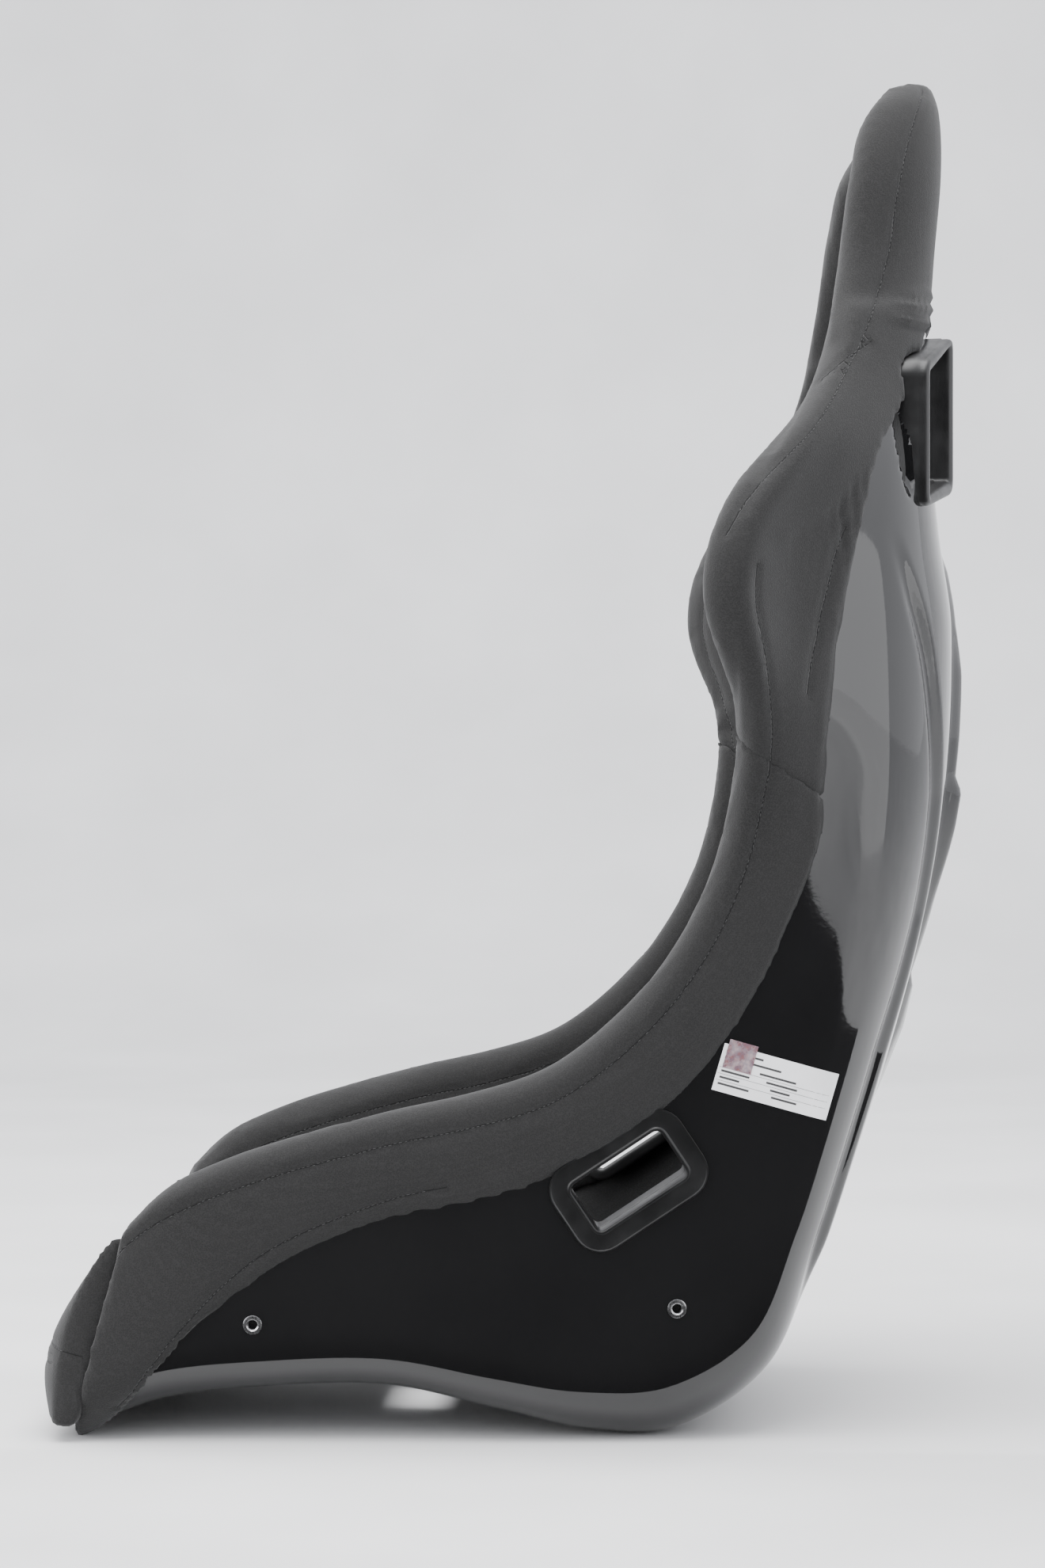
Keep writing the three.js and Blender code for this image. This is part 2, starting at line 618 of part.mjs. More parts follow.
function backLining() {
  const rooms = [...bothSides(bezelRoom(SLOTS.shoulder)), ...bothSides(bezelRoom(SLOTS.lap))];
  return largest(without(lining(HEEL_SEAM + SEAM, HEAD_SEAM - SEAM), ...rooms));
}

// A point at x from the centreline and a height above the shell's inner face.
function aboveFloor(u, x, height) {
  const p = offsetPoint(u, 0, -WALL - height);
  return p.setX(x);
}

// A loose cushion on a lining: rings of [x, height above the lining] at each row.
function cushion(rows, half, thick) {
  const floor = LINER_PAD + TAPE + 2 * TAPE_GAP + GAP;
  const edge = 8;
  const outlineAt = (k) => {
    const t = edge + (thick - edge) * Math.sin(Math.PI * k) ** 0.25;
    const upper = [[half, edge * 0.4], [half, t * 0.6], [half - 9, t], [half * 0.5, t + 3], [0, t + 3]];
    const right = [[0, 0], [half - 6, 0], ...upper];
    const left = right.slice(1, -1).reverse().map(([x, h]) => [-x, h]);
    return [...right, ...left];
  };
  const rings = rows.map((u, i) => {
    const k = 0.03 + (0.94 * i) / (rows.length - 1);
    return outlineAt(k).map(([x, h]) => aboveFloor(u, x, floor + h));
  });
  return solid(loft(rings));
}

const SEAT_CUSHION = { from: 2 / 3, to: 16 / 3, half: 148, thick: 38 };
const BACK_CUSHION = { from: 26 / 3, to: 14, half: 92, thick: 24 };
const cushionOf = ({ from, to, half, thick }) => cushion(rowsBetween(from, to), half, thick);
function seatCushion() {
  const strap = prism(crotchOpening(6), crotchFrame, -120, 0);
  const bezel = prism(crotchFlange(0), crotchFrame, -WALL - 15, 0);
  return without(cushionOf(SEAT_CUSHION), strap, bezel);
}

// Hook-and-loop strips between lining and cushion, running across the seat.
function tape(u, half = 70) {
  const rings = [u - 0.2, u + 0.2].map((row) =>
    [[half, 0], [half, TAPE], [-half, TAPE], [-half, 0]].map(([x, h]) => aboveFloor(row, x, LINER_PAD + TAPE_GAP + h)),
  );
  return solid(loft(rings));
}

// The padded front edge: a bulging face that follows the shell's front lip from side to side.
const FRONT = { half: 192, bulge: 42, clear: 4.5, bottom: -2, top: 80, sideTop: 146 };
function frontRoll() {
  const first = section(0);
  const xs = [-1, -0.985, -0.93, -0.8, -0.6, -0.35, 0, 0.35, 0.6, 0.8, 0.93, 0.985, 1];
  const rings = xs.map((k) => {
    const side = Math.abs(k) ** 6;
    const top = FRONT.top + (FRONT.sideTop - FRONT.top) * side;
    const bulge = FRONT.bulge * (1 - 0.4 * Math.abs(k) ** 10);
    const steps = [0, 0.07, 0.2, 0.35, 0.5, 0.65, 0.8, 0.93, 1];
    const face = steps.map((s) => {
      const z = FRONT.bottom + (top - FRONT.bottom) * s;
      const out = bulge * Math.sin(Math.PI * Math.min(1, 0.08 + s * 0.86)) ** 0.6;
      const y = first.backY + (first.lean[0] / first.lean[1]) * (z - first.backZ) - FRONT.clear;
      return [y, z, out];
    });
    const front = face.map(([y, z, out]) => new THREE.Vector3(k * FRONT.half, y - out, z));
    const back = [face.at(-1), face[4], face[0]].map(([y, z]) => new THREE.Vector3(k * FRONT.half, y, z));
    return [...front, ...back];
  });
  return solid(loft(rings));
}

// ---------------------------------------------------------------- labels
function sidePatch({ y, z, tilt, size, lift, thick }) {
  const turn = tilt * DEG;
  const columns = [-0.5, -0.25, 0, 0.25, 0.5];
  const rings = columns.map((k) => {
    const at = (j) => {
      const [p, q] = [size[0] * k, size[1] * j];
      const wanted = [y + p * Math.cos(turn) - q * Math.sin(turn), z + p * Math.sin(turn) + q * Math.cos(turn)];
      return locate(['y', 'z'], wanted, [8, 0.8]);
    };
    const places = [-0.5, 0, 0.5].map(at);
    const under = places.map(([u, v]) => offsetPoint(u, v, lift));
    const over = places.map(([u, v]) => offsetPoint(u, v, lift + thick)).reverse();
    return [...under, ...over];
  });
  return solid(loft(rings));
}

// ---------------------------------------------------------------- assembly
const group = new THREE.Group();
group.position.set(...FRAME_SHIFT);

function add(name, body, material) {
  const mesh = new THREE.Mesh(body instanceof THREE.BufferGeometry ? body : geometryOf(body), material);
  mesh.name = name;
  group.add(mesh);
}

function addPair(name, body, material) {
  add(`${name}_left`, body, material);
  add(`${name}_right`, mirrored(geometryOf(body)), material);
}

add('shell', shell(), GELCOAT);
addPair('lower_bolster', lowerBolster(), FABRIC);
addPair('shoulder_bolster', shoulderBolster(), FABRIC);
add('head_edge_roll', headEdgeRoll(), FABRIC);
add('head_pad', headPad(), FABRIC);
add('head_back_cover', headBackCover(), FABRIC);
add('front_roll', frontRoll(), FABRIC);
add('pan_lining', panLining(), FABRIC);
add('back_lining', backLining(), FABRIC);
add('seat_cushion', seatCushion(), FABRIC);
add('back_cushion', cushionOf(BACK_CUSHION), FABRIC);
add('seat_tape_front', tape(4 / 3), TAPE_BLACK);
add('seat_tape_rear', tape(14 / 3), TAPE_BLACK);
add('back_tape_lower', tape(28 / 3), TAPE_BLACK);
add('back_tape_upper', tape(40 / 3), TAPE_BLACK);

addPair('lap_slot_bezel', outerBezel(SLOTS.lap), PLASTIC);
addPair('lap_slot_inner_bezel', innerBezel(SLOTS.lap), PLASTIC);
addPair('shoulder_slot_bezel', outerBezel(SLOTS.shoulder), PLASTIC);
addPair('shoulder_slot_inner_bezel', innerBezel(SLOTS.shoulder), PLASTIC);
add('crotch_slot_bezel', outerBezel(SLOTS.crotch), PLASTIC);
add('crotch_slot_inner_bezel', innerBezel(SLOTS.crotch), PLASTIC);

for (const [name, frame] of Object.entries(insertFrames)) {
  addPair(`side_insert_${name}`, insertBody(frame), STEEL);
  addPair(`insert_plate_${name}`, backingPlate(frame), STEEL);
}

add('data_label', sidePatch(LABEL), LABEL_WHITE);
add('seal_sticker', sidePatch(STICKER), STICKER_PINK);

export default group;
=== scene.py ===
"""The racing seat's visual model: gloss shell, padded covers, cushions, bezels and fittings."""

import math

import bmesh
import bpy
import numpy as np
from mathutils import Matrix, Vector
from mathutils.bvhtree import BVHTree
from mathutils.kdtree import KDTree


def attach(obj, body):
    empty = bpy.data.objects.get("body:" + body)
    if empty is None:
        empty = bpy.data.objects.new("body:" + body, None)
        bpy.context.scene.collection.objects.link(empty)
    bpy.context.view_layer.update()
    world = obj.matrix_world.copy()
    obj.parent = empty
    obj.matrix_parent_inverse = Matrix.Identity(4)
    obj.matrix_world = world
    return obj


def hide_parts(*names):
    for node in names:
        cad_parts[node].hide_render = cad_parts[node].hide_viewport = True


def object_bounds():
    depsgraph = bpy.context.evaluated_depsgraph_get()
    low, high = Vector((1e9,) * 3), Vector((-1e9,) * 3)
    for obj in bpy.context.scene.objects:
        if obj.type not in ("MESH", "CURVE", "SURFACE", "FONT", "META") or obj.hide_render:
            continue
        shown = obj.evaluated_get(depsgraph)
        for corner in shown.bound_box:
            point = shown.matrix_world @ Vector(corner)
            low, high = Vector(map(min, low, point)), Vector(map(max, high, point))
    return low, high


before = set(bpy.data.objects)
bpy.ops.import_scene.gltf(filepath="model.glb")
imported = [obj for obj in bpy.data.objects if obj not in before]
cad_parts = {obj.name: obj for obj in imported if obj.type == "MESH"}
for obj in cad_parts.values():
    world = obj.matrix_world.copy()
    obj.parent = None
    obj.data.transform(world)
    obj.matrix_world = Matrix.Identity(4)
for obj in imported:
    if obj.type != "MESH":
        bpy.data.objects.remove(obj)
cad_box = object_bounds()
scene = bpy.context.scene

# ---------------------------------------------------------------- dimensions, in millimetres
# The layout below is the one of the CAD; SHIFT moves it into the row frame.
MM = 0.001
SHIFT = np.array([0.0, 30.0, -85.5])
HEAD_END = 21
FLAT_END, CORNER_END, MOST_CORNER, FLARE_START = 0.3, 0.65, 0.85, 0.35
WALL = 4.0
OUTER_PAD, INNER_PAD, INNER_PAD_EDGE, HEM_PAD = 8.0, 24.0, 9.0, 4.5
RIM_SWELL = [(9.0, 16.0), (12.5, 9.5)]  # how far the crown stands past the rim, by station
WAIST_SEAM, HEEL_SEAM, HEAD_SEAM = 35 / 3, 22 / 3, 52 / 3

# back y, back z, rim y, rim z, half width, corner radius, wall angle, flare: front lip to head
STATIONS = np.array([
    (-303, -2, -266, 133, 200, 42, 86, 0), (-243, 22, -232, 160, 208, 44, 86, 0),
    (-174, 31, -172, 185, 212, 45, 86, 0), (-88, 33, -88, 209, 214, 46, 86, 0),
    (-12, 17, -28, 222, 215, 48, 86, 0), (55, 1, 20, 236, 215, 52, 85, 0),
    (118, 2, 55, 256, 216, 56, 84, 0), (180, 44, 88, 284, 217, 60, 83, 0),
    (212, 119, 115, 315, 218, 62, 82, 0), (238, 196, 138, 352, 220, 66, 81, 1),
    (261, 268, 155, 395, 224, 72, 80, 5), (281, 340, 165, 440, 232, 82, 79, 12),
    (296, 412, 170, 484, 249, 94, 77, 26), (304, 483, 164, 530, 272, 106, 76, 43),
    (306, 552, 155, 579, 285, 114, 75, 52), (302, 616, 166, 625, 278, 117, 75, 49),
    (295, 682, 198, 678, 247, 110, 75, 29), (292, 748, 229, 740, 190, 90, 76, 8),
    (295, 815, 242, 810, 156, 68, 78, 1), (300, 880, 250, 876, 143, 58, 78, 0),
    (299, 924, 258, 918, 124, 46, 78, 0), (291, 943, 271, 937, 98, 26, 78, 0),
], float)
OUTER_REACH = [176, 113, 69, 54, 52, 52, 53, 55, 54, 52, 53, 57, 50, 57, 73, 76, 62, 78]
LAST_REACH = 17  # the station of the reaches' last value
INNER_REACH = [80, 85, 92, 98, 104, 110, 114, 110, 98, 90, 84, 80, 78, 80, 84, 76, 56, 40]


# ---------------------------------------------------------------- the shell's surface
def spline(knots, t):
    knots, t = np.asarray(knots, float), np.asarray(t, float)
    last = len(knots) - 1
    i = np.clip(np.floor(t).astype(int), 0, last - 1)
    f = t - i
    a, b, c, d = (knots[np.clip(i + k, 0, last)] for k in (-1, 0, 1, 2))
    cubic, square = 3 * b - a - 3 * c + d, 2 * a - 5 * b + 4 * c - d
    return 0.5 * (2 * b + (c - a) * f + square * f ** 2 + cubic * f ** 3)


def section(u):
    back_y, back_z, rim_y, rim_z, half, corner, wall, flare = (spline(STATIONS[:, k], u) for k in range(8))
    depth = np.hypot(rim_y - back_y, rim_z - back_z)
    turn = np.minimum(np.radians(wall), np.arccos(1 - np.minimum(MOST_CORNER * depth / corner, 1)))
    rise = corner * (1 - np.cos(turn))
    straight = (depth - rise) / np.sin(turn)
    run = corner * np.sin(turn)
    flat = half - flare - run - straight * np.cos(turn)
    lean = ((rim_y - back_y) / depth, (rim_z - back_z) / depth)
    return dict(back=(back_y, back_z), lean=lean, depth=depth, corner=corner, turn=turn, rise=rise,
                straight=straight, run=run, flat=flat, flare=flare)


def surface(u, v):
    """Points of the shell's outer face; v runs from -1 at the right rim to 1 at the left rim."""
    u, v = np.broadcast_arrays(np.asarray(u, float), np.asarray(v, float))
    s, w = section(u), np.abs(v)
    angle = s["turn"] * np.clip((w - FLAT_END) / (CORNER_END - FLAT_END), 0, 1)
    along = s["straight"] * np.maximum(w - CORNER_END, 0) / (1 - CORNER_END)
    x = s["flat"] * np.minimum(w / FLAT_END, 1) + s["corner"] * np.sin(angle) + along * np.cos(s["turn"])
    h = s["corner"] * (1 - np.cos(angle)) + along * np.sin(s["turn"])
    lean = np.maximum(0, (h / s["depth"] - FLARE_START) / (1 - FLARE_START))
    x = x + s["flare"] * lean ** 2
    return np.stack([np.sign(v) * x, s["back"][0] + s["lean"][0] * h, s["back"][1] + s["lean"][1] * h], -1)


def normals(u, v, step=1e-3):
    u, v = np.broadcast_arrays(np.asarray(u, float), np.asarray(v, float))
    middle = np.clip(u, step, HEAD_END - step)
    along = surface(middle + step, v) - surface(middle - step, v)
    across = surface(u, v + step) - surface(u, v - step)
    n = np.cross(along, across)
    return n / np.linalg.norm(n, axis=-1, keepdims=True)


def offset(u, v, out):
    return surface(u, v) + normals(u, v) * np.asarray(out, float)[..., None]


def below_rim(u, distance):
    """The section parameter at a distance down the surface from the rim."""
    s = section(u)
    distance = np.asarray(distance, float)
    length = s["corner"] * s["turn"]
    past = distance - s["straight"]
    wall = 1 - (1 - CORNER_END) * distance / s["straight"]
    corner = CORNER_END - (CORNER_END - FLAT_END) * past / length
    flat = FLAT_END * (1 - (past - length) / s["flat"])
    return np.where(past < 0, wall, np.where(past < length, corner, flat))


def locate(axes, wanted, start):
    best, step = np.array(start, float), 0.5

    def miss(uv):
        p = surface(np.clip(uv[0], 0, HEAD_END), np.clip(uv[1], 0.01, 1.05))
        return math.hypot(p[axes[0]] - wanted[0], p[axes[1]] - wanted[1])

    while step > 1e-4:
        tried = [best + np.array(d) for d in ((step, 0), (-step, 0), (0, step * 0.1), (0, -step * 0.1))]
        nearest = min(tried, key=miss)
        if miss(nearest) < miss(best):
            best = nearest
        else:
            step /= 2
    return best


def smooth(x):
    x = np.clip(x, 0, 1)
    return x * x * (3 - 2 * x)


def unit(v):
    v = np.asarray(v, float)
    return v / np.linalg.norm(v)


# ---------------------------------------------------------------- mesh helpers
def new_object(name, points, faces, materials, shade=True):
    """A mesh object from layout points in millimetres."""
    mesh = bpy.data.meshes.new(name)
    mesh.from_pydata(((np.asarray(points) + SHIFT) * MM).tolist(), [], faces)
    for material in materials:
        mesh.materials.append(material)
    mesh.polygons.foreach_set("use_smooth", [shade] * len(mesh.polygons))
    mesh.update()
    obj = bpy.data.objects.new(name, mesh)
    scene.collection.objects.link(obj)
    return obj


def flipped(points, side):
    """The points as they are for side 1, or their mirror image for side -1."""
    return np.asarray(points) * np.array([side, 1, 1])


def grid_faces(rows, columns, closed=False, flip=False):
    wide = columns if closed else columns - 1
    faces = []
    for i in range(rows - 1):
        for j in range(wide):
            k = (j + 1) % columns
            quad = (i * columns + j, i * columns + k, (i + 1) * columns + k, (i + 1) * columns + j)
            faces.append(quad[::-1] if flip else quad)
    return faces


def lofted(rings):
    """Points and faces of a closed tube through rings of equal length, capped at both ends."""
    rings = np.asarray(rings)
    rows, columns = rings.shape[:2]
    faces = grid_faces(rows, columns, closed=True)
    faces.append(tuple(range(columns))[::-1])
    faces.append(tuple(range((rows - 1) * columns, rows * columns)))
    return rings.reshape(-1, 3), faces


def tidy_normals(obj):
    work = bmesh.new()
    work.from_mesh(obj.data)
    bmesh.ops.recalc_face_normals(work, faces=work.faces)
    work.to_mesh(obj.data)
    work.free()


def solid(name, rings, materials, shade=True):
    """A closed solid lofted through rings of equal length, its faces turned outwards."""
    points, faces = lofted(rings)
    obj = new_object(name, points, faces, materials, shade)
    tidy_normals(obj)
    return obj


def ring_around(name, rings, material, sharp):
    """A closed ring lofted through rings, of which the last meets the first again."""
    rings = np.array(rings)
    rows, columns = rings.shape[:2]
    faces = [tuple(i % (rows * columns) for i in f) for f in grid_faces(rows + 1, columns, closed=True)]
    obj = new_object(name, rings.reshape(-1, 3), faces, [material])
    tidy_normals(obj)
    obj.data.set_sharp_from_angle(angle=math.radians(sharp))
    return obj


def point_tree(points):
    tree = KDTree(len(points))
    for index, p in enumerate(points):
        tree.insert(Vector(p), index)
    tree.balance()
    return tree


def coordinates(obj):
    data = np.empty(len(obj.data.vertices) * 3)
    obj.data.vertices.foreach_get("co", data)
    return data.reshape(-1, 3) / MM - SHIFT


def set_coordinates(obj, points):
    obj.data.vertices.foreach_set("co", ((points + SHIFT) * MM).ravel())
    obj.data.update()


def vertex_normals(obj):
    data = np.empty(len(obj.data.vertices) * 3)
    obj.data.vertices.foreach_get("normal", data)
    return data.reshape(-1, 3)


def applied(obj, kind, **settings):
    """Adds a modifier, applies it and leaves the result as the object's mesh."""
    modifier = obj.modifiers.new(kind.title(), kind)
    for key, value in settings.items():
        setattr(modifier, key, value)
    shown = obj.evaluated_get(bpy.context.evaluated_depsgraph_get())
    mesh = bpy.data.meshes.new_from_object(shown)
    obj.modifiers.clear()
    obj.data = mesh
    mesh.polygons.foreach_set("use_smooth", [True] * len(mesh.polygons))
    return obj


def puff(obj, cap, voxel=5.0, pressure=4.0, hold=None):
    """Remeshes a closed form and swells it as stuffed fabric, no point further than cap."""
    applied(obj, "REMESH", mode="VOXEL", voxel_size=voxel * MM)
    before = coordinates(obj)
    cloth = obj.modifiers.new("Cloth", "CLOTH")
    cloth.settings.quality = 5
    cloth.settings.mass = 0.25
    cloth.settings.tension_stiffness = cloth.settings.compression_stiffness = 20
    cloth.settings.bending_stiffness = 0.6
    cloth.settings.use_pressure = True
    cloth.settings.uniform_pressure_force = pressure
    cloth.settings.effector_weights.gravity = 0
    if hold is not None:
        group = obj.vertex_groups.new(name="hold")
        for index, weight in enumerate(hold(before)):
            if weight > 0.01:
                group.add([index], float(weight), "REPLACE")
        cloth.settings.vertex_group_mass = "hold"
    for number in range(1, 21):
        scene.frame_set(number)
    shown = obj.evaluated_get(bpy.context.evaluated_depsgraph_get())
    after = np.array([v.co for v in shown.data.vertices]) / MM - SHIFT
    scene.frame_set(1)
    obj.modifiers.clear()
    obj.vertex_groups.clear()
    move = after - before
    length = np.linalg.norm(move, axis=1, keepdims=True)
    set_coordinates(obj, before + move * (cap * np.tanh(length / cap) / np.maximum(length, 1e-6)))
    return obj


def mirrored(obj, name):
    points = flipped(coordinates(obj), -1)
    faces = [tuple(p.vertices)[::-1] for p in obj.data.polygons]
    twin = new_object(name, points, faces, obj.data.materials)
    for key in SEAM_KEYS:
        if key in obj.data.attributes:
            values = np.empty(len(points))
            obj.data.attributes[key].data.foreach_get("value", values)
            twin.data.attributes.new(key, "FLOAT", "POINT").data.foreach_set("value", values)
    return twin


# ---------------------------------------------------------------- seams
SEAM_KEYS = ("seam_side", "seam_near")
SEAM_BAND = 10.0  # how far from a seam its attributes reach


def resampled(points, step):
    """The polyline through points, rounded by a spline, as points a step apart."""
    points = np.asarray(points, float)
    fine = np.linspace(0, len(points) - 1, 40 * len(points))
    curve = np.stack([spline(points[:, k], fine) for k in range(points.shape[1])], -1)
    length = np.concatenate([[0], np.cumsum(np.linalg.norm(np.diff(curve, axis=0), axis=1))])
    wanted = np.arange(0, length[-1], step)
    return np.stack([np.interp(wanted, length, curve[:, k]) for k in range(points.shape[1])], -1)


def tree_of(obj):
    return BVHTree.FromPolygons(coordinates(obj).tolist(), [tuple(p.vertices) for p in obj.data.polygons])


def from_side(obj, route, start=400.0, towards=-1.0):
    """A route of [y, z], thrown sideways onto a piece."""
    tree = tree_of(obj)
    hits = []
    for y, z in resampled(route, 2.0):
        hit = tree.ray_cast(Vector((start, y, z)), Vector((towards, 0, 0)))
        if hit[0] is not None:
            hits.append(tuple(hit[0]))
    return np.array(hits)


def onto(obj, route):
    tree = tree_of(obj)
    return np.array([tuple(tree.find_nearest(Vector(p))[0]) for p in resampled(route, 2.0)])


def sew(obj, seams, depth=1.6, width=3.2):
    """Draws the fabric in along each seam and stores how near each point lies to it."""
    points, outward = coordinates(obj), vertex_normals(obj)
    side = np.full(len(points), SEAM_BAND)
    near = np.zeros(len(points))
    for seam in seams:
        tree = point_tree(seam)
        tangents = np.gradient(seam, axis=0)
        tangents /= np.maximum(np.linalg.norm(tangents, axis=1, keepdims=True), 1e-9)
        low, high = seam.min(0) - SEAM_BAND, seam.max(0) + SEAM_BAND
        for i in np.nonzero(np.all((points > low) & (points < high), axis=1))[0]:
            _, index, _ = tree.find(Vector(points[i]))
            away = points[i] - seam[index]
            away -= tangents[index] * np.dot(away, tangents[index])
            gap = np.linalg.norm(away)
            if gap < SEAM_BAND and 1 - gap / SEAM_BAND > near[i]:
                near[i] = 1 - gap / SEAM_BAND
                side[i] = gap * (1 if np.dot(np.cross(tangents[index], away), outward[i]) > 0 else -1)
    gap = SEAM_BAND * (1 - near)
    set_coordinates(obj, points - outward * (depth * np.exp(-(gap / width) ** 2))[:, None])
    for key, values in zip(SEAM_KEYS, (side, near)):
        obj.data.attributes.new(key, "FLOAT", "POINT").data.foreach_set("value", values)


def stitches(name, obj, seams, body, pitch=3.6, length=2.4, thick=0.55, proud=0.1):
    """Thread stitches along seams on a piece's surface."""
    tree = tree_of(obj)
    points, faces = [], []
    ring = [(math.cos(a), math.sin(a)) for a in np.linspace(0, 2 * math.pi, 7)[:-1]]
    for seam in seams:
        route = resampled(seam, pitch)
        for here, ahead in zip(route[:-1], route[1:]):
            place, up, _, _ = tree.find_nearest(Vector(here))
            along = unit(ahead - here)
            up = unit(np.array(up) - along * np.dot(np.array(up), along))
            across = np.cross(along, up)
            first = len(points)
            for t, r in ((-0.5, 0.35), (-0.32, 0.9), (0, 1.0), (0.32, 0.9), (0.5, 0.35)):
                centre = np.array(place) + up * proud + along * t * length
                points += [centre + (across * c + up * s * 0.7) * r * thick / 2 for c, s in ring]
            faces += [tuple(k + first for k in f) for f in grid_faces(5, 6, closed=True)]
            faces += [tuple(range(first + 5, first - 1, -1)), tuple(range(first + 24, first + 30))]
    piece = new_object(name, points, faces, [THREAD])
    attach(piece, body)
    return piece


# ---------------------------------------------------------------- materials
class Look:
    """A material whose shader is fed by procedural nodes."""

    def __init__(self, name, roughness, **fixed):
        self.material = bpy.data.materials.new(name)
        self.material.use_nodes = True
        self.tree = self.material.node_tree
        self.shader = self.tree.nodes["Principled BSDF"]
        self.shader.inputs["Roughness"].default_value = roughness
        for key, value in fixed.items():
            self.shader.inputs[key.replace("_", " ")].default_value = value
        self.place = self.add("ShaderNodeTexCoord").outputs["Object"]

    def add(self, kind, settings=None, **inputs):
        node = self.tree.nodes.new(kind)
        for key, value in (settings or {}).items():
            setattr(node, key, value)
        for key, value in inputs.items():
            socket = node.inputs[int(key[1:])] if key[0] == "_" else node.inputs[key]
            if isinstance(value, bpy.types.NodeSocket):
                self.tree.links.new(value, socket)
            else:
                socket.default_value = value
        return node

    def noise(self, scale, detail=3.0):
        return self.add("ShaderNodeTexNoise", Vector=self.place, Scale=scale, Detail=detail).outputs["Fac"]

    def cells(self, scale, randomness=1.0):
        return self.add("ShaderNodeTexVoronoi", Vector=self.place, Scale=scale,
                        Randomness=randomness).outputs["Distance"]

    def maths(self, operation, a, b=0.0):
        return self.add("ShaderNodeMath", {"operation": operation}, _0=a, _1=b).outputs[0]

    def spread(self, value, low, high, start=0.3, end=0.7):
        node = self.add("ShaderNodeMapRange", Value=value)
        for key, number in (("From Min", start), ("From Max", end), ("To Min", low), ("To Max", high)):
            node.inputs[key].default_value = number
        return node.outputs[0]

    def mix(self, factor, a, b):
        node = self.add("ShaderNodeMix", {"data_type": "RGBA"}, Factor=factor)
        for socket, value in ((node.inputs[6], a), (node.inputs[7], b)):
            if isinstance(value, bpy.types.NodeSocket):
                self.tree.links.new(value, socket)
            else:
                socket.default_value = (*value, 1)
        return node.outputs[2]

    def feed(self, socket, value):
        self.tree.links.new(value, self.shader.inputs[socket])

    def bump(self, *layers):
        """Stacks bump layers of (height, strength, distance in metres)."""
        below = None
        for height, strength, distance in layers:
            node = self.add("ShaderNodeBump", Height=height, Strength=strength, Distance=distance)
            if below is not None:
                self.tree.links.new(below, node.inputs["Normal"])
            below = node.outputs[0]
        self.feed("Normal", below)


def fabric_look(name, dark, light):
    look = Look(name, 0.9, Sheen_Weight=0.12, Sheen_Roughness=0.5, Specular_IOR_Level=0.25)
    knit = look.cells(1050, 0.75)
    fuzz = look.noise(3200, 2)
    cloud = look.noise(14)
    side = look.add("ShaderNodeAttribute", {"attribute_name": "seam_side"}).outputs["Fac"]
    near = look.add("ShaderNodeAttribute", {"attribute_name": "seam_near"}).outputs["Fac"]
    line = look.spread(look.maths("ABSOLUTE", side), 1, 0, 0.25, 0.75)
    seam = look.maths("MULTIPLY", line, look.maths("GREATER_THAN", near, 0.6))
    speck = look.maths("ADD", look.maths("MULTIPLY", knit, 0.7), look.maths("MULTIPLY", fuzz, 0.5))
    body = look.mix(look.spread(speck, 0, 1, 0.35, 0.75), dark, light)
    faded = look.mix(look.spread(cloud, 0, 0.22), body, tuple(1.25 * c for c in light))
    look.feed("Base Color", look.mix(look.maths("MULTIPLY", seam, 0.8), faded, (0.004, 0.004, 0.004)))
    look.feed("Roughness", look.spread(cloud, 0.84, 0.96))
    look.bump((cloud, 0.12, 0.004), (knit, 0.35, 0.0005), (fuzz, 0.25, 0.0003),
              (look.maths("MULTIPLY", seam, -1.0), 0.6, 0.001))
    return look.material


def gelcoat_look():
    look = Look("gloss_gelcoat", 0.05, Coat_Weight=0.6, Coat_Roughness=0.03, IOR=1.5)
    film = look.noise(6, 4)
    peel = look.noise(260, 2)
    wave = look.noise(9, 1)
    tint = look.mix(look.spread(film, 0, 1), (0.0035, 0.0035, 0.0038), (0.006, 0.006, 0.0063))
    look.feed("Base Color", tint)
    look.feed("Roughness", look.spread(film, 0.035, 0.085))
    look.bump((wave, 0.05, 0.004), (peel, 0.03, 0.0006))
    return look.material


def plastic_look():
    look = Look("moulded_plastic", 0.4, Specular_IOR_Level=0.5)
    grain = look.cells(2100)
    rub = look.noise(45, 4)
    look.feed("Base Color", look.mix(look.spread(rub, 0, 1), (0.006, 0.006, 0.0062), (0.011, 0.011, 0.0113)))
    look.feed("Roughness", look.spread(rub, 0.3, 0.46))
    look.bump((grain, 0.16, 0.0003), (rub, 0.05, 0.001))
    return look.material


def steel_look(name, tone):
    look = Look(name, 0.3, Metallic=1.0, Anisotropic=0.3)
    scratch = look.noise(900, 6)
    stain = look.noise(120, 3)
    darker = tuple(0.6 * c for c in tone)
    look.feed("Base Color", look.mix(look.spread(stain, 0, 1), darker, tone))
    look.feed("Roughness", look.spread(scratch, 0.2, 0.42))
    look.bump((scratch, 0.08, 0.0003))
    return look.material


def tape_look():
    look = Look("hook_tape", 0.95, Sheen_Weight=0.2)
    loops = look.cells(1500)
    wear = look.noise(40)
    look.feed("Base Color", look.mix(look.spread(wear, 0, 1), (0.008, 0.008, 0.008), (0.02, 0.02, 0.02)))
    look.feed("Roughness", look.spread(wear, 0.85, 1.0))
    look.bump((loops, 0.8, 0.0008))
    return look.material


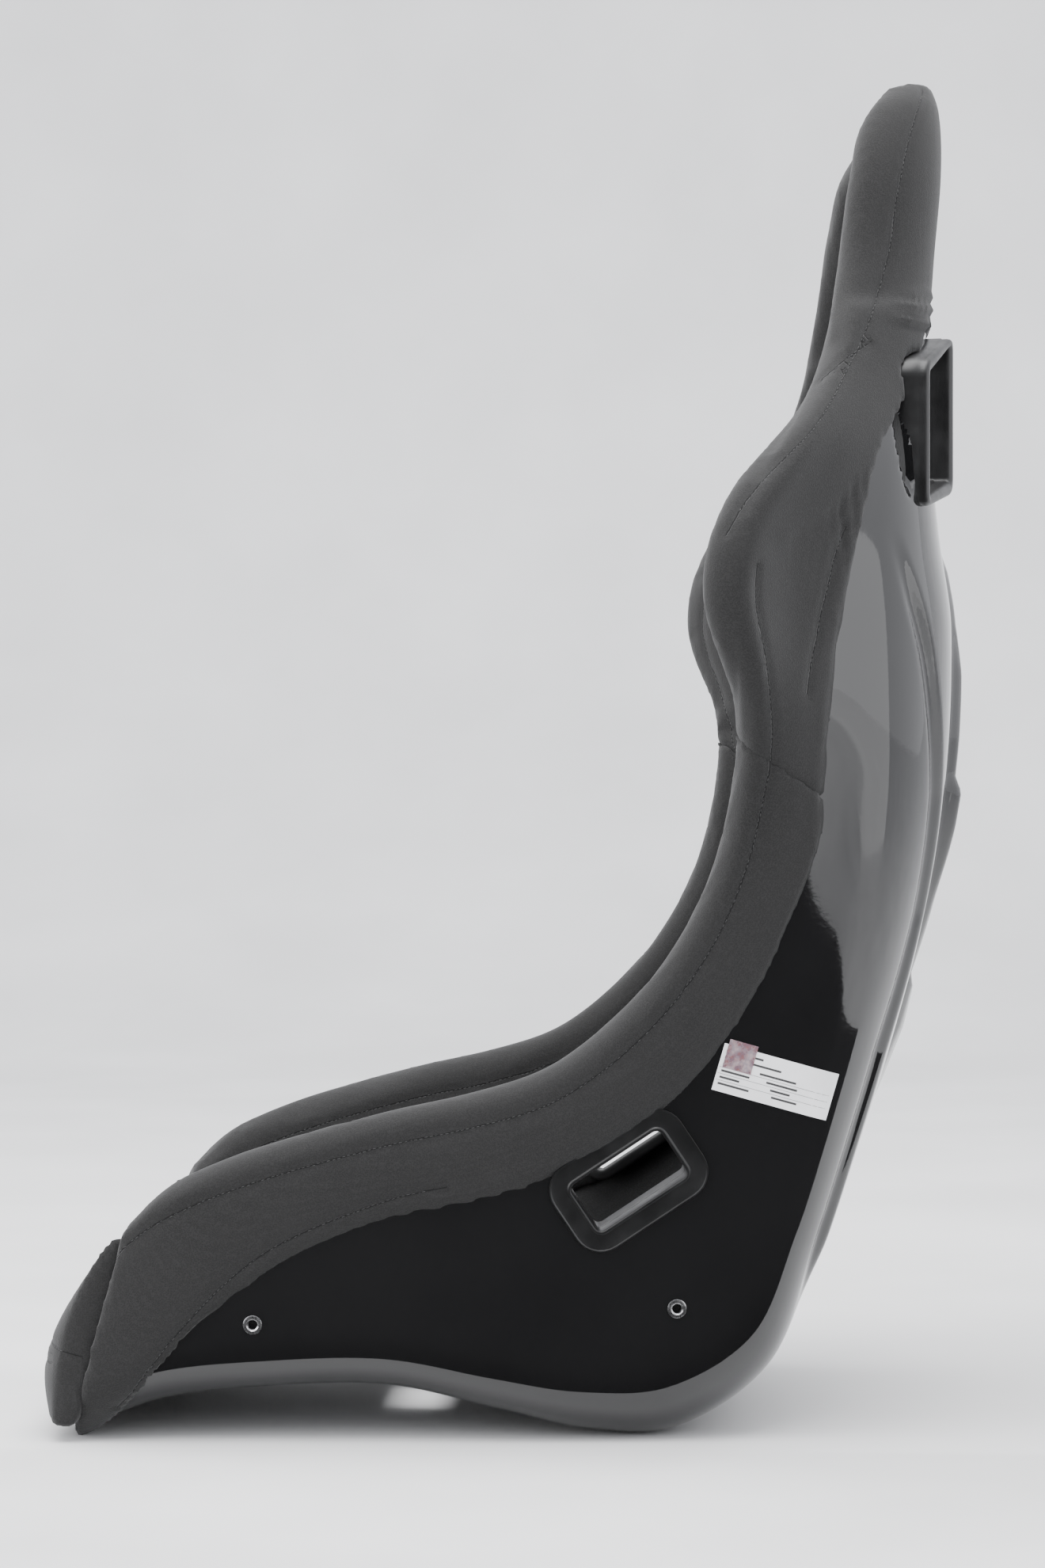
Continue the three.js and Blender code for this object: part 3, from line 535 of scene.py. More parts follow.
def label_look():
    look = Look("label_film", 0.35, Coat_Weight=0.2, Coat_Roughness=0.1)
    paper = look.noise(300)
    handling = look.noise(30, 4)
    look.feed("Base Color", look.mix(look.spread(handling, 0, 1), (0.68, 0.68, 0.69), (0.8, 0.8, 0.81)))
    look.feed("Roughness", look.spread(handling, 0.3, 0.5))
    look.bump((paper, 0.05, 0.0003))
    return look.material


def sticker_look():
    look = Look("seal_film", 0.3, Metallic=0.45, Coat_Weight=0.4, Coat_Roughness=0.08)
    flecks = look.cells(420)
    bands = look.noise(160, 5)
    rose = look.mix(look.spread(bands, 0, 1, 0.4, 0.6), (0.3, 0.13, 0.14), (0.5, 0.4, 0.42))
    look.feed("Base Color", look.mix(look.spread(flecks, 0, 0.5), rose, (0.22, 0.2, 0.26)))
    look.feed("Roughness", look.spread(bands, 0.18, 0.42))
    look.bump((flecks, 0.12, 0.0003))
    return look.material


def plain_look(name, color, roughness, scale):
    look = Look(name, roughness)
    cloud = look.noise(scale, 4)
    look.feed("Base Color", look.mix(look.spread(cloud, 0, 1), tuple(0.9 * c for c in color), color))
    look.feed("Roughness", look.spread(cloud, roughness - 0.08, roughness + 0.05))
    look.bump((cloud, 0.1, 0.0003))
    return look.material


FABRIC = fabric_look("knit_fabric", (0.008, 0.0079, 0.0079), (0.02, 0.0197, 0.0197))
LINING = fabric_look("lining_fabric", (0.0075, 0.0075, 0.0075), (0.018, 0.018, 0.018))
GELCOAT = gelcoat_look()
PLASTIC = plastic_look()
STEEL = steel_look("turned_steel", (0.62, 0.62, 0.63))
PLATE = steel_look("plate_steel", (0.45, 0.45, 0.46))
TAPE = tape_look()
LABEL_FILM = label_look()
SEAL_FILM = sticker_look()
THREAD = plain_look("sewing_thread", (0.045, 0.045, 0.045), 0.7, 900)
INK = plain_look("label_ink", (0.05, 0.05, 0.05), 0.5, 400)


# ---------------------------------------------------------------- frames, outlines and cutters
# A frame is an origin and three axes, the last of which points out of the shell.
def frame_at(origin, normal, along):
    z = unit(normal)
    x = unit(along - z * np.dot(along, z))
    return origin, x, np.cross(z, x), z


def side_frame(y, z, tilt=0.0):
    u, v = locate((1, 2), (y, z), (5, 0.8))
    lean = math.radians(tilt)
    return frame_at(surface(u, v), normals(u, v), np.array([0, math.cos(lean), math.sin(lean)]))


def rounded(size, radius, grow=0.0, steps=8):
    """A rectangle with round corners, grown on every side."""
    a, b, r = size[0] / 2 + grow, size[1] / 2 + grow, max(radius + grow, 0.5)
    ring = []
    for cx, cy, start in ((a - r, r - b, -90), (a - r, b - r, 0), (r - a, b - r, 90), (r - a, r - b, 180)):
        for k in range(steps):
            angle = math.radians(start + 90 * k / (steps - 1))
            ring.append((cx + r * math.cos(angle), cy + r * math.sin(angle)))
    return np.array(ring)


LAP = dict(flange=((104, 68), 20), opening=((73.4, 38), 5))
CROTCH = dict(flange=((128, 62), 16), opening=((96, 30), 8))
SHOULDER_CORNERS = np.array([(84, 655), (166, 640), (166, 742), (84, 768)], float)
SHOULDER_RIM, SHOULDER_YAW, SHOULDER_CUT = 9.0, math.radians(17), 12.0
TUBE_WALL = 2.5


def shoulder_ring(grow, steps=8):
    """The shoulder slot's raised rim, as a polygon with each corner rounded."""
    away = SHOULDER_CORNERS - SHOULDER_CORNERS.mean(0)
    corners = np.stack([-away[:, 0] / math.cos(SHOULDER_YAW), away[:, 1]], -1)
    corners += np.sign(corners) * grow
    ring = []
    for i, p in enumerate(corners):
        before, after = corners[i - 1], corners[(i + 1) % 4]
        start = p + unit(before - p) * (SHOULDER_CUT + grow)
        end = p + unit(after - p) * (SHOULDER_CUT + grow)
        for t in np.linspace(0, 1, steps):
            ring.append((1 - t) ** 2 * start + 2 * t * (1 - t) * p + t ** 2 * end)
    return np.array(ring)


def shoulder_frame():
    u, v = locate((0, 2), SHOULDER_CORNERS.mean(0), (16, 0.5))
    sin, cos = math.sin(SHOULDER_YAW), math.cos(SHOULDER_YAW)
    return surface(u, v), np.array([-cos, sin, 0]), np.array([0, 0, 1.0]), np.array([sin, cos, 0])


def crotch_frame():
    u, _ = locate((0, 1), (0, -70), (3.3, 0.01))
    return frame_at(surface(u, 0.0), normals(u, 0.01), np.array([1.0, 0, 0]))


# meet is where the outer bezel's tube ends; inside is how far the inner bezel's face lies in the foam
SLOTS = {
    "lap": dict(frame=side_frame(82, 179.5, 33.5), flange=lambda g: rounded(*LAP["flange"], g),
                opening=lambda g: rounded(*LAP["opening"], g), meet=-10, inside=24),
    "shoulder": dict(frame=shoulder_frame(), flange=shoulder_ring,
                     opening=lambda g: shoulder_ring(g - SHOULDER_RIM), meet=-16, inside=21),
    "crotch": dict(frame=crotch_frame(), flange=lambda g: rounded(*CROTCH["flange"], g),
                   opening=lambda g: rounded(*CROTCH["opening"], g), meet=-8, inside=9.5),
}
INSERT_HOLE = 5.7  # radius
INSERT_FRAMES = {"front": side_frame(-175, 80), "rear": side_frame(115, 91)}


def in_frame(frame_, points):
    origin, x, y, z = frame_
    away = points - origin
    return np.stack([away @ x, away @ y, away @ z], -1)


def inside_ring(ring, flat):
    """True where a point of the plane lies inside the closed ring."""
    x, y = flat[:, :1], flat[:, 1:2]
    ax, ay = ring[:, 0], ring[:, 1]
    bx, by = np.roll(ax, -1), np.roll(ay, -1)
    spans = (ay > y) != (by > y)
    rise = np.where(by == ay, 1e-9, by - ay)
    return (np.sum(spans & (x < (bx - ax) * (y - ay) / rise + ax), axis=1) % 2) == 1


def in_slots(points, grow, reach=45.0):
    """True where a point lies in the way of a belt slot, on either side of the seat."""
    left = points.copy()
    left[:, 0] = np.abs(left[:, 0])
    hit = np.zeros(len(points), bool)
    for key, slot in SLOTS.items():
        local = in_frame(slot["frame"], points if key == "crotch" else left)
        hit |= inside_ring(slot["opening"](grow), local[:, :2]) & (np.abs(local[:, 2]) < reach)
    return hit


def prism(frame_, ring, low, high, flip=1.0):
    origin, x, y, z = frame_
    base = origin + ring[:, :1] * x + ring[:, 1:] * y
    return solid("cutter", [flipped(base + z * height, flip) for height in (low, high)], [])


def joined(parts):
    bpy.ops.object.select_all(action="DESELECT")
    for part in parts:
        part.select_set(True)
    bpy.context.view_layer.objects.active = parts[0]
    bpy.ops.object.join()
    return parts[0]


def carve(obj, cutters):
    for cutter in cutters:
        applied(obj, "BOOLEAN", operation="DIFFERENCE", solver="EXACT", object=cutter)
        bpy.data.objects.remove(cutter)


def settle(obj, body, slot, *nodes):
    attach(obj, body)
    if nodes:
        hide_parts(*nodes)
    return obj


# ---------------------------------------------------------------- the gloss shell
# Heights of the raised spine behind the back, and the angle round the corner at which the back's
# raised panel ends, both by height z.
SPINE = np.array([(130, 0), (174, 1), (219, 3.5), (281, 9.5), (309, 8.5), (317, 4.7), (371, 8), (421, 13.3),
                  (446, 14.2), (456, 9), (483, 9.4), (528, 9), (562, 5), (600, 4), (613, 1.5), (660, 1)])
PANEL_EDGE = np.array([(95, 15), (138, 23), (265, 25), (304, 21), (360, 17), (402, 19), (441, 21), (471, 25),
                       (504, 30), (539, 35), (573, 41), (596, 44), (621, 47.5), (648, 53), (700, 56)])
SPINE_HALF, SPINE_EDGE = 88.0, 13.0
BACK_START, BACK_FADE = 6.6, 0.8  # the stations over which the relief begins, above the heel
PANEL = dict(rise=4.2, roll=9.0, fade=(80, 60, 560, 70))
FOOT = dict(depth=1.4, along=3.0, width=4.0)
GROOVE = dict(depth=2.6, along=6.0, width=5.0, fade=(330, 120, 560, 60))
POCKET = dict(z=685, along=72, half=(34, 8), depth=7, soft=1.3)


def faded(z, start, rise, end, fall):
    """1 between two heights, eased in over rise and out over fall."""
    return smooth((z - start) / rise) * (1 - smooth((z - end) / fall))


def dent(along, shape):
    return -shape["depth"] * np.exp(-((along - shape["along"]) / shape["width"]) ** 2)


def shell_relief(u, v, points):
    """How far the outer face stands off the plain surface."""
    s, t, x, z = section(u), np.abs(v), np.abs(points[..., 0]), points[..., 2]
    round_corner = (t - FLAT_END) / (CORNER_END - FLAT_END) * s["corner"] * s["turn"]
    arc = np.where(t < FLAT_END, (t / FLAT_END - 1) * s["flat"], round_corner)
    edge = s["corner"] * np.radians(np.interp(z, PANEL_EDGE[:, 0], PANEL_EDGE[:, 1]))
    panel = PANEL["rise"] * smooth((edge - arc) / PANEL["roll"]) + dent(arc - edge, FOOT)
    spine = np.interp(z, SPINE[:, 0], SPINE[:, 1]) * (1 - smooth((x - SPINE_HALF) / SPINE_EDGE))
    groove = dent(arc, GROOVE) * faded(z, *GROOVE["fade"])
    tall, wide = POCKET["half"]
    leaf = ((z - POCKET["z"]) / tall) ** 2 + ((arc - POCKET["along"]) / wide) ** 2
    pocket = -POCKET["depth"] * smooth(POCKET["soft"] - leaf)
    relief = panel * faded(z, *PANEL["fade"]) + spine + groove + pocket
    return smooth((u - BACK_START) / BACK_FADE) * relief


def gloss_shell():
    """The shell's solid, with finer rows and columns over the back, where the relief is."""
    half = np.concatenate([np.linspace(0, 0.22, 10), np.linspace(0.23, 0.62, 66), np.linspace(0.64, 1, 14)])
    v = np.concatenate([-half[:0:-1], half])
    u = np.concatenate([np.linspace(0, 7, 70), np.linspace(7, HEAD_END, 240)[1:]])
    grid_u, grid_v = np.meshgrid(u, v, indexing="ij")
    plain = surface(grid_u, grid_v)
    points = plain + normals(grid_u, grid_v) * shell_relief(grid_u, grid_v, plain)[..., None]
    points = points.reshape(-1, 3)
    shell = new_object("gloss_shell", points, grid_faces(len(u), len(v), flip=True), [GELCOAT])
    applied(shell, "SOLIDIFY", thickness=WALL * MM, offset=-1.0, use_even_offset=False)
    bore = rounded((2 * INSERT_HOLE, 2 * INSERT_HOLE), INSERT_HOLE)
    cutters = [prism(SLOTS["crotch"]["frame"], SLOTS["crotch"]["opening"](TUBE_WALL), -20, 20)]
    for flip in (1.0, -1.0):
        for key in ("lap", "shoulder"):
            cutters.append(prism(SLOTS[key]["frame"], SLOTS[key]["opening"](TUBE_WALL), -40, 30, flip))
        cutters += [prism(frame_, bore, -15, 15, flip) for frame_ in INSERT_FRAMES.values()]
    carve(shell, [joined(cutters)])
    shell.data.set_sharp_from_angle(angle=math.radians(35))
    return settle(shell, "shell", "shell_gelcoat", "shell")


# ---------------------------------------------------------------- padded covers
ROWS_PER_STATION = 9
COVER_SWELL, COVER_VOXEL = 3.5, 4.5
# offsets just beyond a bolster's two faces, from which a seam drops onto it
ABOVE_OUTER, ABOVE_INNER = OUTER_PAD + 2, -WALL - INNER_PAD - 3
OUTER_SEAM, INNER_SEAM = 6, 10  # how far the crown's seams lie below the rim
HEM_SEAM = 9  # and the hem's stitching above the hem


def bolster_outline(u):
    """A bolster's section, as distances below the rim and offsets outwards."""
    outer, inner = spline(OUTER_REACH, min(u, LAST_REACH)), spline(INNER_REACH, min(u, LAST_REACH))
    inside = -WALL - INNER_PAD
    middle, radius = (OUTER_PAD + inside) / 2, (OUTER_PAD - inside) / 2
    swell = np.interp(u, *zip(*RIM_SWELL))
    k = np.linspace(1, 0, 18)
    crown = np.radians(np.arange(12, 180, 12))
    m = np.linspace(0, 1, 12)
    c = np.linspace(0, 1, 7)
    below = np.concatenate([outer * k, -swell * np.sin(crown), inner * m, inner + (outer - inner) * c])
    hem = HEM_PAD + (OUTER_PAD - HEM_PAD) * smooth((1 - k) * 1.7)
    inner_face = inside + (INNER_PAD - INNER_PAD_EDGE) * m ** 2
    core = np.full(len(c), -WALL / 2)
    return below, np.concatenate([hem, middle + radius * np.cos(crown), inner_face, core])


def bolster_form(name, start, end, side=1.0):
    rings = []
    for u in np.linspace(start, end, int((end - start) * ROWS_PER_STATION)):
        below, out = bolster_outline(u)
        rings.append(flipped(offset(u, below_rim(u, below), out), side))
    return solid(name, rings, [FABRIC])


def shell_tree():
    grid_u, grid_v = np.meshgrid(np.linspace(0, HEAD_END, 190), np.linspace(-1, 1, 90), indexing="ij")
    samples = offset(grid_u, grid_v, np.full(grid_u.shape, -WALL / 2)).reshape(-1, 3)
    return point_tree(samples)


SHELL_TREE = shell_tree()
HELD_WITHIN, HELD_FADE = 7, 5


def near_shell(points):
    """Holds a cover where it hugs the shell: 1 on the shell, 0 where the foam is thick."""
    gaps = np.array([SHELL_TREE.find(Vector(p))[2] for p in points])
    return 1 - smooth((gaps - HELD_WITHIN) / HELD_FADE)


def ring_route(start, end, below, out, side=1.0, step=0.12):
    """A route along the rim, a set distance below it."""
    route = []
    for u in np.arange(start, end, step):
        distance = below(u) if callable(below) else below
        route.append(flipped(offset(u, below_rim(u, distance), out), side))
    return np.array(route)


def lower_bolsters():
    """The covers beside the pan and the waist, cut out round the lap slots."""
    form = bolster_form("lower_bolster_cover_left", -0.02, WAIST_SEAM + 0.05)
    slot = SLOTS["lap"]
    carve(form, [prism(slot["frame"], slot["opening"](TUBE_WALL), -80, 40),
                 prism(slot["frame"], slot["flange"](-5.5), -90, -WALL - slot["inside"] + 3)])
    puff(form, COVER_SWELL, voxel=COVER_VOXEL, hold=near_shell)
    seams = [onto(form, ring_route(0.1, WAIST_SEAM, OUTER_SEAM, ABOVE_OUTER)),
             onto(form, ring_route(0.4, WAIST_SEAM, INNER_SEAM, ABOVE_INNER)),
             onto(form, ring_route(0.7, 3.6, lambda u: spline(OUTER_REACH, u) - HEM_SEAM, 6))]
    sew(form, seams)
    stitches("lower_stitching_left", form, seams, "shell")
    twin = mirrored(form, "lower_bolster_cover_right")
    stitches("lower_stitching_right", twin, [flipped(seam, -1) for seam in seams], "shell")
    for obj, side in ((form, "left"), (twin, "right")):
        settle(obj, "shell", "fabric", f"lower_bolster_{side}")


# The head cover's foam in front, behind and around the edge, by station.
HEAD_ROWS = [17.3, 17.6, 18.2, 19, 20, 20.6, 21]
HEAD_FRONT = [13, 19, 21, 22, 23, 25, 24]
HEAD_BACK = [2.5, 3.5, 4, 4.5, 5, 7, 8]
HEAD_EDGE = [12, 12, 12, 12, 13, 14, 14]
HEAD_DOME = 6.0
HEAD_SHEET = 0.97  # the section parameter where the flat of the cover turns into its edge
DOME_ANGLES = [20, 40, 58, 74, 85]


def head_form():
    roll = np.radians(np.arange(0, 181, 15))
    sheet_v = np.linspace(-HEAD_SHEET, HEAD_SHEET, 45)
    flat = np.ones(len(sheet_v))
    rings = []
    for u in np.linspace(HEAD_ROWS[0], HEAD_END, 40):
        front, back, edge = (np.interp(u, HEAD_ROWS, k) for k in (HEAD_FRONT, HEAD_BACK, HEAD_EDGE))
        middle, radius = (back - WALL - front) / 2, (back + WALL + front) / 2
        side_v = below_rim(u, -edge * np.sin(roll))
        side_out = middle + radius * np.cos(roll)
        v = np.concatenate([sheet_v, side_v, sheet_v[::-1], -side_v[::-1]])
        out = np.concatenate([back * flat, side_out, (-WALL - front) * flat, side_out[::-1]])
        rings.append(offset(u, v, out))
    last = rings[-1]
    rise = unit((surface(HEAD_END, 0.2) - surface(HEAD_END - 0.3, 0.2)) * np.array([0, 1, 1]))
    edge_v = np.full(len(roll), HEAD_SHEET)
    spine_v = np.concatenate([sheet_v, edge_v, sheet_v[::-1], -edge_v])
    spine = offset(HEAD_END, spine_v, np.full(len(spine_v), -WALL / 2 - 6))
    for angle in np.radians(DOME_ANGLES):
        rings.append(spine + (last - spine) * math.cos(angle) + rise * HEAD_DOME * math.sin(angle))
    return solid("head", rings, [FABRIC])


# Seams seen from the side, as [y, z].
HEAD_SIDE_SEAM = [(290, 936), (281, 908), (275, 885), (268, 850), (265, 826), (260, 806), (254, 786),
                  (247, 765), (239, 747), (230, 730), (221, 712), (206, 688), (190, 671), (173, 654),
                  (160, 638), (150, 622)]
NECK_CROSS_SEAM = [(240, 747), (229, 739), (219, 731)]
REAR_HEM_STITCH = [(226, 615), (221, 601), (217, 583), (212, 564), (209, 548), (205, 530), (203, 514)]
# the fold across each wing's outside, from front to back
WING_CREASE = np.array([(187, 620), (213, 637), (228, 652), (241, 666), (257, 688), (274, 719), (284, 735)])
CREASE_DEPTH, CREASE_FLOOR = 7.0, 7.5  # the crease never comes nearer the shell's middle than the floor


def press_crease(obj):
    """The hollow below the wing's top roll, on the outside of each shoulder."""
    points, outward = coordinates(obj), vertex_normals(obj)
    crest = np.interp(points[:, 1], WING_CREASE[:, 0], WING_CREASE[:, 1])
    below = crest - points[:, 2]
    mask = smooth(below / 16) * (1 - smooth((below - 60) / 90))
    mask *= smooth((outward[:, 0] * np.sign(points[:, 0]) - 0.35) / 0.3)
    mask *= smooth((points[:, 1] - 168) / 30) * smooth((np.abs(points[:, 0]) - 150) / 30)
    room = np.array([SHELL_TREE.find(Vector(p))[2] for p in points]) - CREASE_FLOOR
    set_coordinates(obj, points - outward * (np.clip(room, 0, CREASE_DEPTH) * mask)[:, None])


def pucker_hem(obj):
    """Small folds where the head cover is pulled in at its lower back edge."""
    points, outward = coordinates(obj), vertex_normals(obj)
    low = 1 - smooth((points[:, 2] - 786) / 16)
    back = smooth((outward[:, 1] - 0.5) / 0.3) * smooth((points[:, 2] - 764) / 6)
    fold = 1.6 * np.sin(points[:, 2] * 0.62 + 0.8 * np.sin(points[:, 0] * 0.05)) + 0.9
    set_coordinates(obj, points + outward * (fold * low * back)[:, None])


def upper_cover():
    """One sewn cover over both shoulder bolsters and the head."""
    shoulders = [bolster_form("shoulder", WAIST_SEAM - 0.05, 17.55, side) for side in (1.0, -1.0)]
    cover = joined(shoulders + [head_form()])
    cover.name = "upper_cover"
    applied(cover, "REMESH", mode="VOXEL", voxel_size=4 * MM)
    slot = SLOTS["shoulder"]
    carve(cover, [prism(slot["frame"], slot["flange"](1.0), -14, 60, side) for side in (1.0, -1.0)])
    puff(cover, COVER_SWELL, voxel=COVER_VOXEL, hold=near_shell)
    press_crease(cover)
    pucker_hem(cover)
    seams = []
    for side in (1.0, -1.0):
        for route in (HEAD_SIDE_SEAM, NECK_CROSS_SEAM, REAR_HEM_STITCH):
            seams.append(from_side(cover, route, 400 * side, -side))
        inner = ring_route(WAIST_SEAM, 16.4, INNER_SEAM, ABOVE_INNER, side)
        outer = ring_route(WAIST_SEAM, 14.2, OUTER_SEAM - 1, ABOVE_OUTER, side)
        seams += [onto(cover, inner), onto(cover, outer)]
    seams.append(onto(cover, [offset(20.2, v, -WALL - 30) for v in np.linspace(-0.82, 0.82, 20)]))
    sew(cover, seams)
    stitches("upper_stitching", cover, seams, "shell")
    settle(cover, "shell", "fabric", "shoulder_bolster_left", "shoulder_bolster_right", "head_edge_roll",
           "head_pad", "head_back_cover")


FRONT = dict(half=199.0, bulge=36.0, clear=-3.0, bottom=5.0, top=80.0, side_top=141.0)
FRONT_SIDE_SEAM = [(-338, 70), (-322, 64), (-300, 58)]


def front_cover():
    """The padded front edge of the pan."""
    s = section(0.0)
    slope = s["lean"][0] / s["lean"][1]
    rings = []
    for k in np.sin(np.linspace(-math.pi / 2, math.pi / 2, 61)):
        top = FRONT["top"] + (FRONT["side_top"] - FRONT["top"]) * abs(k) ** 6
        bulge = FRONT["bulge"] * (1 - 0.3 * abs(k) ** 12)  # fuller in the middle than at its ends
        t = np.linspace(0, 1, 22)
        z = FRONT["bottom"] + (top - FRONT["bottom"]) * t
        y = s["back"][0] + slope * (z - s["back"][1]) - FRONT["clear"]
        out = bulge * np.sin(math.pi * (0.1 + 0.87 * t ** 1.2)) ** 0.45
        x = np.full(len(t), k * FRONT["half"])
        front = np.stack([x, y - out, z], -1)
        back = np.stack([x, y, z], -1)[::-3]
        rings.append(np.concatenate([front, back]))
    form = solid("front_roll_cover", rings, [FABRIC])
    puff(form, 3.0, voxel=COVER_VOXEL)
    seams = [from_side(form, FRONT_SIDE_SEAM, 400 * side, -side) for side in (1.0, -1.0)]
    across = [(x, -345, 60 - 0.0002 * x * x) for x in np.linspace(-186, 186, 30)]
    seams.append(onto(form, across))
    sew(form, seams, depth=1.2)
    stitches("front_stitching", form, seams, "shell")
    settle(form, "shell", "fabric", "front_roll")


LINING_PAD, LINING_EDGE, LINING_GAP = 9.0, 3.0, 0.6


def lining(name, start, end, node):
    """A thin padded lining on the shell's inner face, drawn in at its sewn edge."""
    half = np.sin(np.linspace(-math.pi / 2, math.pi / 2, 61))
    rings = []
    for u in np.linspace(start, end, int((end - start) * ROWS_PER_STATION)):
        v = half * below_rim(u, spline(INNER_REACH, min(u, LAST_REACH)) - 10)
        ends = smooth((u - start) / 0.25) * smooth((end - u) / 0.25)
        thick = LINING_EDGE + (LINING_PAD - LINING_EDGE) * ends * smooth((1 - np.abs(half)) / 0.06)
        near = offset(u, v, np.full(len(v), -WALL - LINING_GAP))
        rings.append(np.concatenate([near, offset(u, v, -WALL - thick)[::-1]]))
    points, faces = lofted(rings)
    centres = np.array([points[list(f)].mean(0) for f in faces])
    cut = in_slots(centres, TUBE_WALL + 1.5)
    keep = [f for f, out in zip(faces, cut) if len(f) > 4 or not out]
    form = new_object(name, points, keep, [LINING])
    settle(form, "shell", "fabric", node)


CUSHION_FLOOR = 13.9  # the lining, the tapes and their gaps below a cushion
CUSHION_ROLL, CUSHION_THIN, CUSHION_CROWN = 8.0, 6.0, 3.0


def cushion_form(name, start, end, half, thick):
    """A loose cushion on the lining: flat below, crowned above, drawn in towards its corners."""
    rings = []
    for k in np.sin(np.linspace(-math.pi / 2, math.pi / 2, 46)) * 0.5 + 0.5:
        u = start + (end - start) * k
        ends = math.sin(math.pi * min(max(k, 0.02), 0.98))
        tall = CUSHION_THIN + (thick - CUSHION_THIN) * ends ** 0.35
        inner = half - 5 + 3 * ends ** 0.5 - CUSHION_ROLL
        angle = np.linspace(-0.5 * math.pi, 0.5 * math.pi, 11)
        edge_x = inner + CUSHION_ROLL * np.cos(angle)
        edge_h = tall * 0.5 * (1 + np.sin(angle))
        top = np.linspace(0.9, -0.9, 21)
        x = np.concatenate([edge_x, top * inner, -edge_x[::-1], -top * inner])
        h = np.concatenate([edge_h, tall + CUSHION_CROWN * (1 - top ** 2), edge_h[::-1], 0 * top])
        middle = offset(u, 0.0, -WALL - CUSHION_FLOOR - h)
        rings.append(np.stack([x, middle[:, 1], middle[:, 2]], -1))
    return solid(name, rings, [FABRIC])


def top_route(start, end, x0, x1, height, count=24):
    """A route on a cushion's top, from one station and side position to another."""
    route = []
    for k in np.linspace(0, 1, count):
        p = offset(start + (end - start) * k, 0.0, -WALL - 14 - height)
        route.append((x0 + (x1 - x0) * k, p[1], p[2]))
    return np.array(route)


def finish_cushion(form, seams, body, node):
    seams = [onto(form, seam) for seam in seams]
    sew(form, seams, depth=2.6, width=4.0)
    stitches(f"{node}_stitching", form, seams, body)
    settle(form, body, "fabric", node)


def seat_cushion():
    """The loose seat cushion, with a hole for the crotch belts and a recess for their bezel."""
    form = cushion_form("seat_cushion_cover", 2 / 3 + 0.12, 16 / 3 - 0.08, 146, 34)
    slot = SLOTS["crotch"]
    carve(form, [prism(slot["frame"], slot["opening"](7.0), -120, 0),
                 prism(slot["frame"], slot["flange"](1.0), -WALL - 15.5, 0)])
    puff(form, 5.0, voxel=5.0)
    seams = [top_route(0.95, 5.05, side * x, side * x, 38) for side in (-1, 1) for x in (88, 134)]
    seams += [top_route(u, u, -134, 134, 38) for u in (0.98, 5.02)]
    finish_cushion(form, seams, "seat_cushion", "seat_cushion")


def back_cushion():
    form = cushion_form("back_cushion_cover", 26 / 3 + 0.1, 14 - 0.1, 90, 21)
    puff(form, 5.0, voxel=5.0)
    seams = [top_route(9.0, 13.7, side * x, side * x, 26) for side in (-1, 1) for x in (40, 80)]
    seams += [top_route(u, u, -80, 80, 26) for u in (9.0, 13.7)]
    finish_cushion(form, seams, "back_cushion", "back_cushion")


# ---------------------------------------------------------------- bezels, inserts and labels
def swept_ring(name, slot, profile, flip=1.0):
    """A closed ring from a profile of (outline, growth, height) steps around a slot."""
    origin, x, y, z = slot["frame"]
    rings = []
    for outline, grow, height in profile:
        flat = slot[outline](grow)
        rings.append(flipped(origin + flat[:, :1] * x + flat[:, 1:] * y + height * z, flip))
    return ring_around(name, rings, PLASTIC, 50)


def flat_bezel_profile(meet):
    """A flat plate with a fine raised edge round its outside and round its mouth."""
    return [("flange", 0, -3), ("flange", 0, 2.2), ("flange", -0.3, 2.6), ("flange", -0.9, 2.6),
            ("flange", -1.3, 2.2), ("flange", -1.9, 1.9), ("opening", 3.4, 1.9), ("opening", 2.8, 2.1),
            ("opening", 2.4, 2.9), ("opening", 1.9, 3.2), ("opening", 1.1, 3.2), ("opening", 0.5, 2.8),
            ("opening", 0, 1.8), ("opening", 0, meet), ("opening", TUBE_WALL, meet),
            ("opening", TUBE_WALL, -3)]


def raised_bezel_profile(meet):
    """A tall frame with a round rim, round a deep mouth."""
    return [("flange", 0.6, -14), ("flange", 0.6, 2), ("flange", -0.2, 2.8), ("flange", -0.2, 6.6),
            ("flange", -0.8, 8.6), ("flange", -2.0, 9.7), ("flange", -3.6, 10.0), ("flange", -6.0, 9.8),
            ("opening", 1.6, 9.0), ("opening", 0.5, 7.6), ("opening", 0, 5.5), ("opening", 0, -2),
            ("opening", -0.8, -3), ("opening", -0.8, meet), ("opening", TUBE_WALL, meet),
            ("opening", TUBE_WALL, -14)]


def inner_bezel_profile(slot, skirt):
    """The flange inside the bucket, whose tube meets the outer bezel's."""
    face, meet = -WALL - slot["inside"], slot["meet"] - 0.5
    return [("opening", 0, meet), ("opening", 0, face + 1), ("opening", 0.6, face),
            ("opening", 3, face - 0.4), ("opening", 5, face), ("flange", -9, face + 0.4),
            ("flange", -7.2, face + 0.7), ("flange", -6.2, face + 1.6), ("flange", -6, face + skirt),
            ("opening", TUBE_WALL, face + skirt), ("opening", TUBE_WALL, meet)]


INNER_SKIRT = {"lap": 3.0, "shoulder": 11.0, "crotch": 2.6}


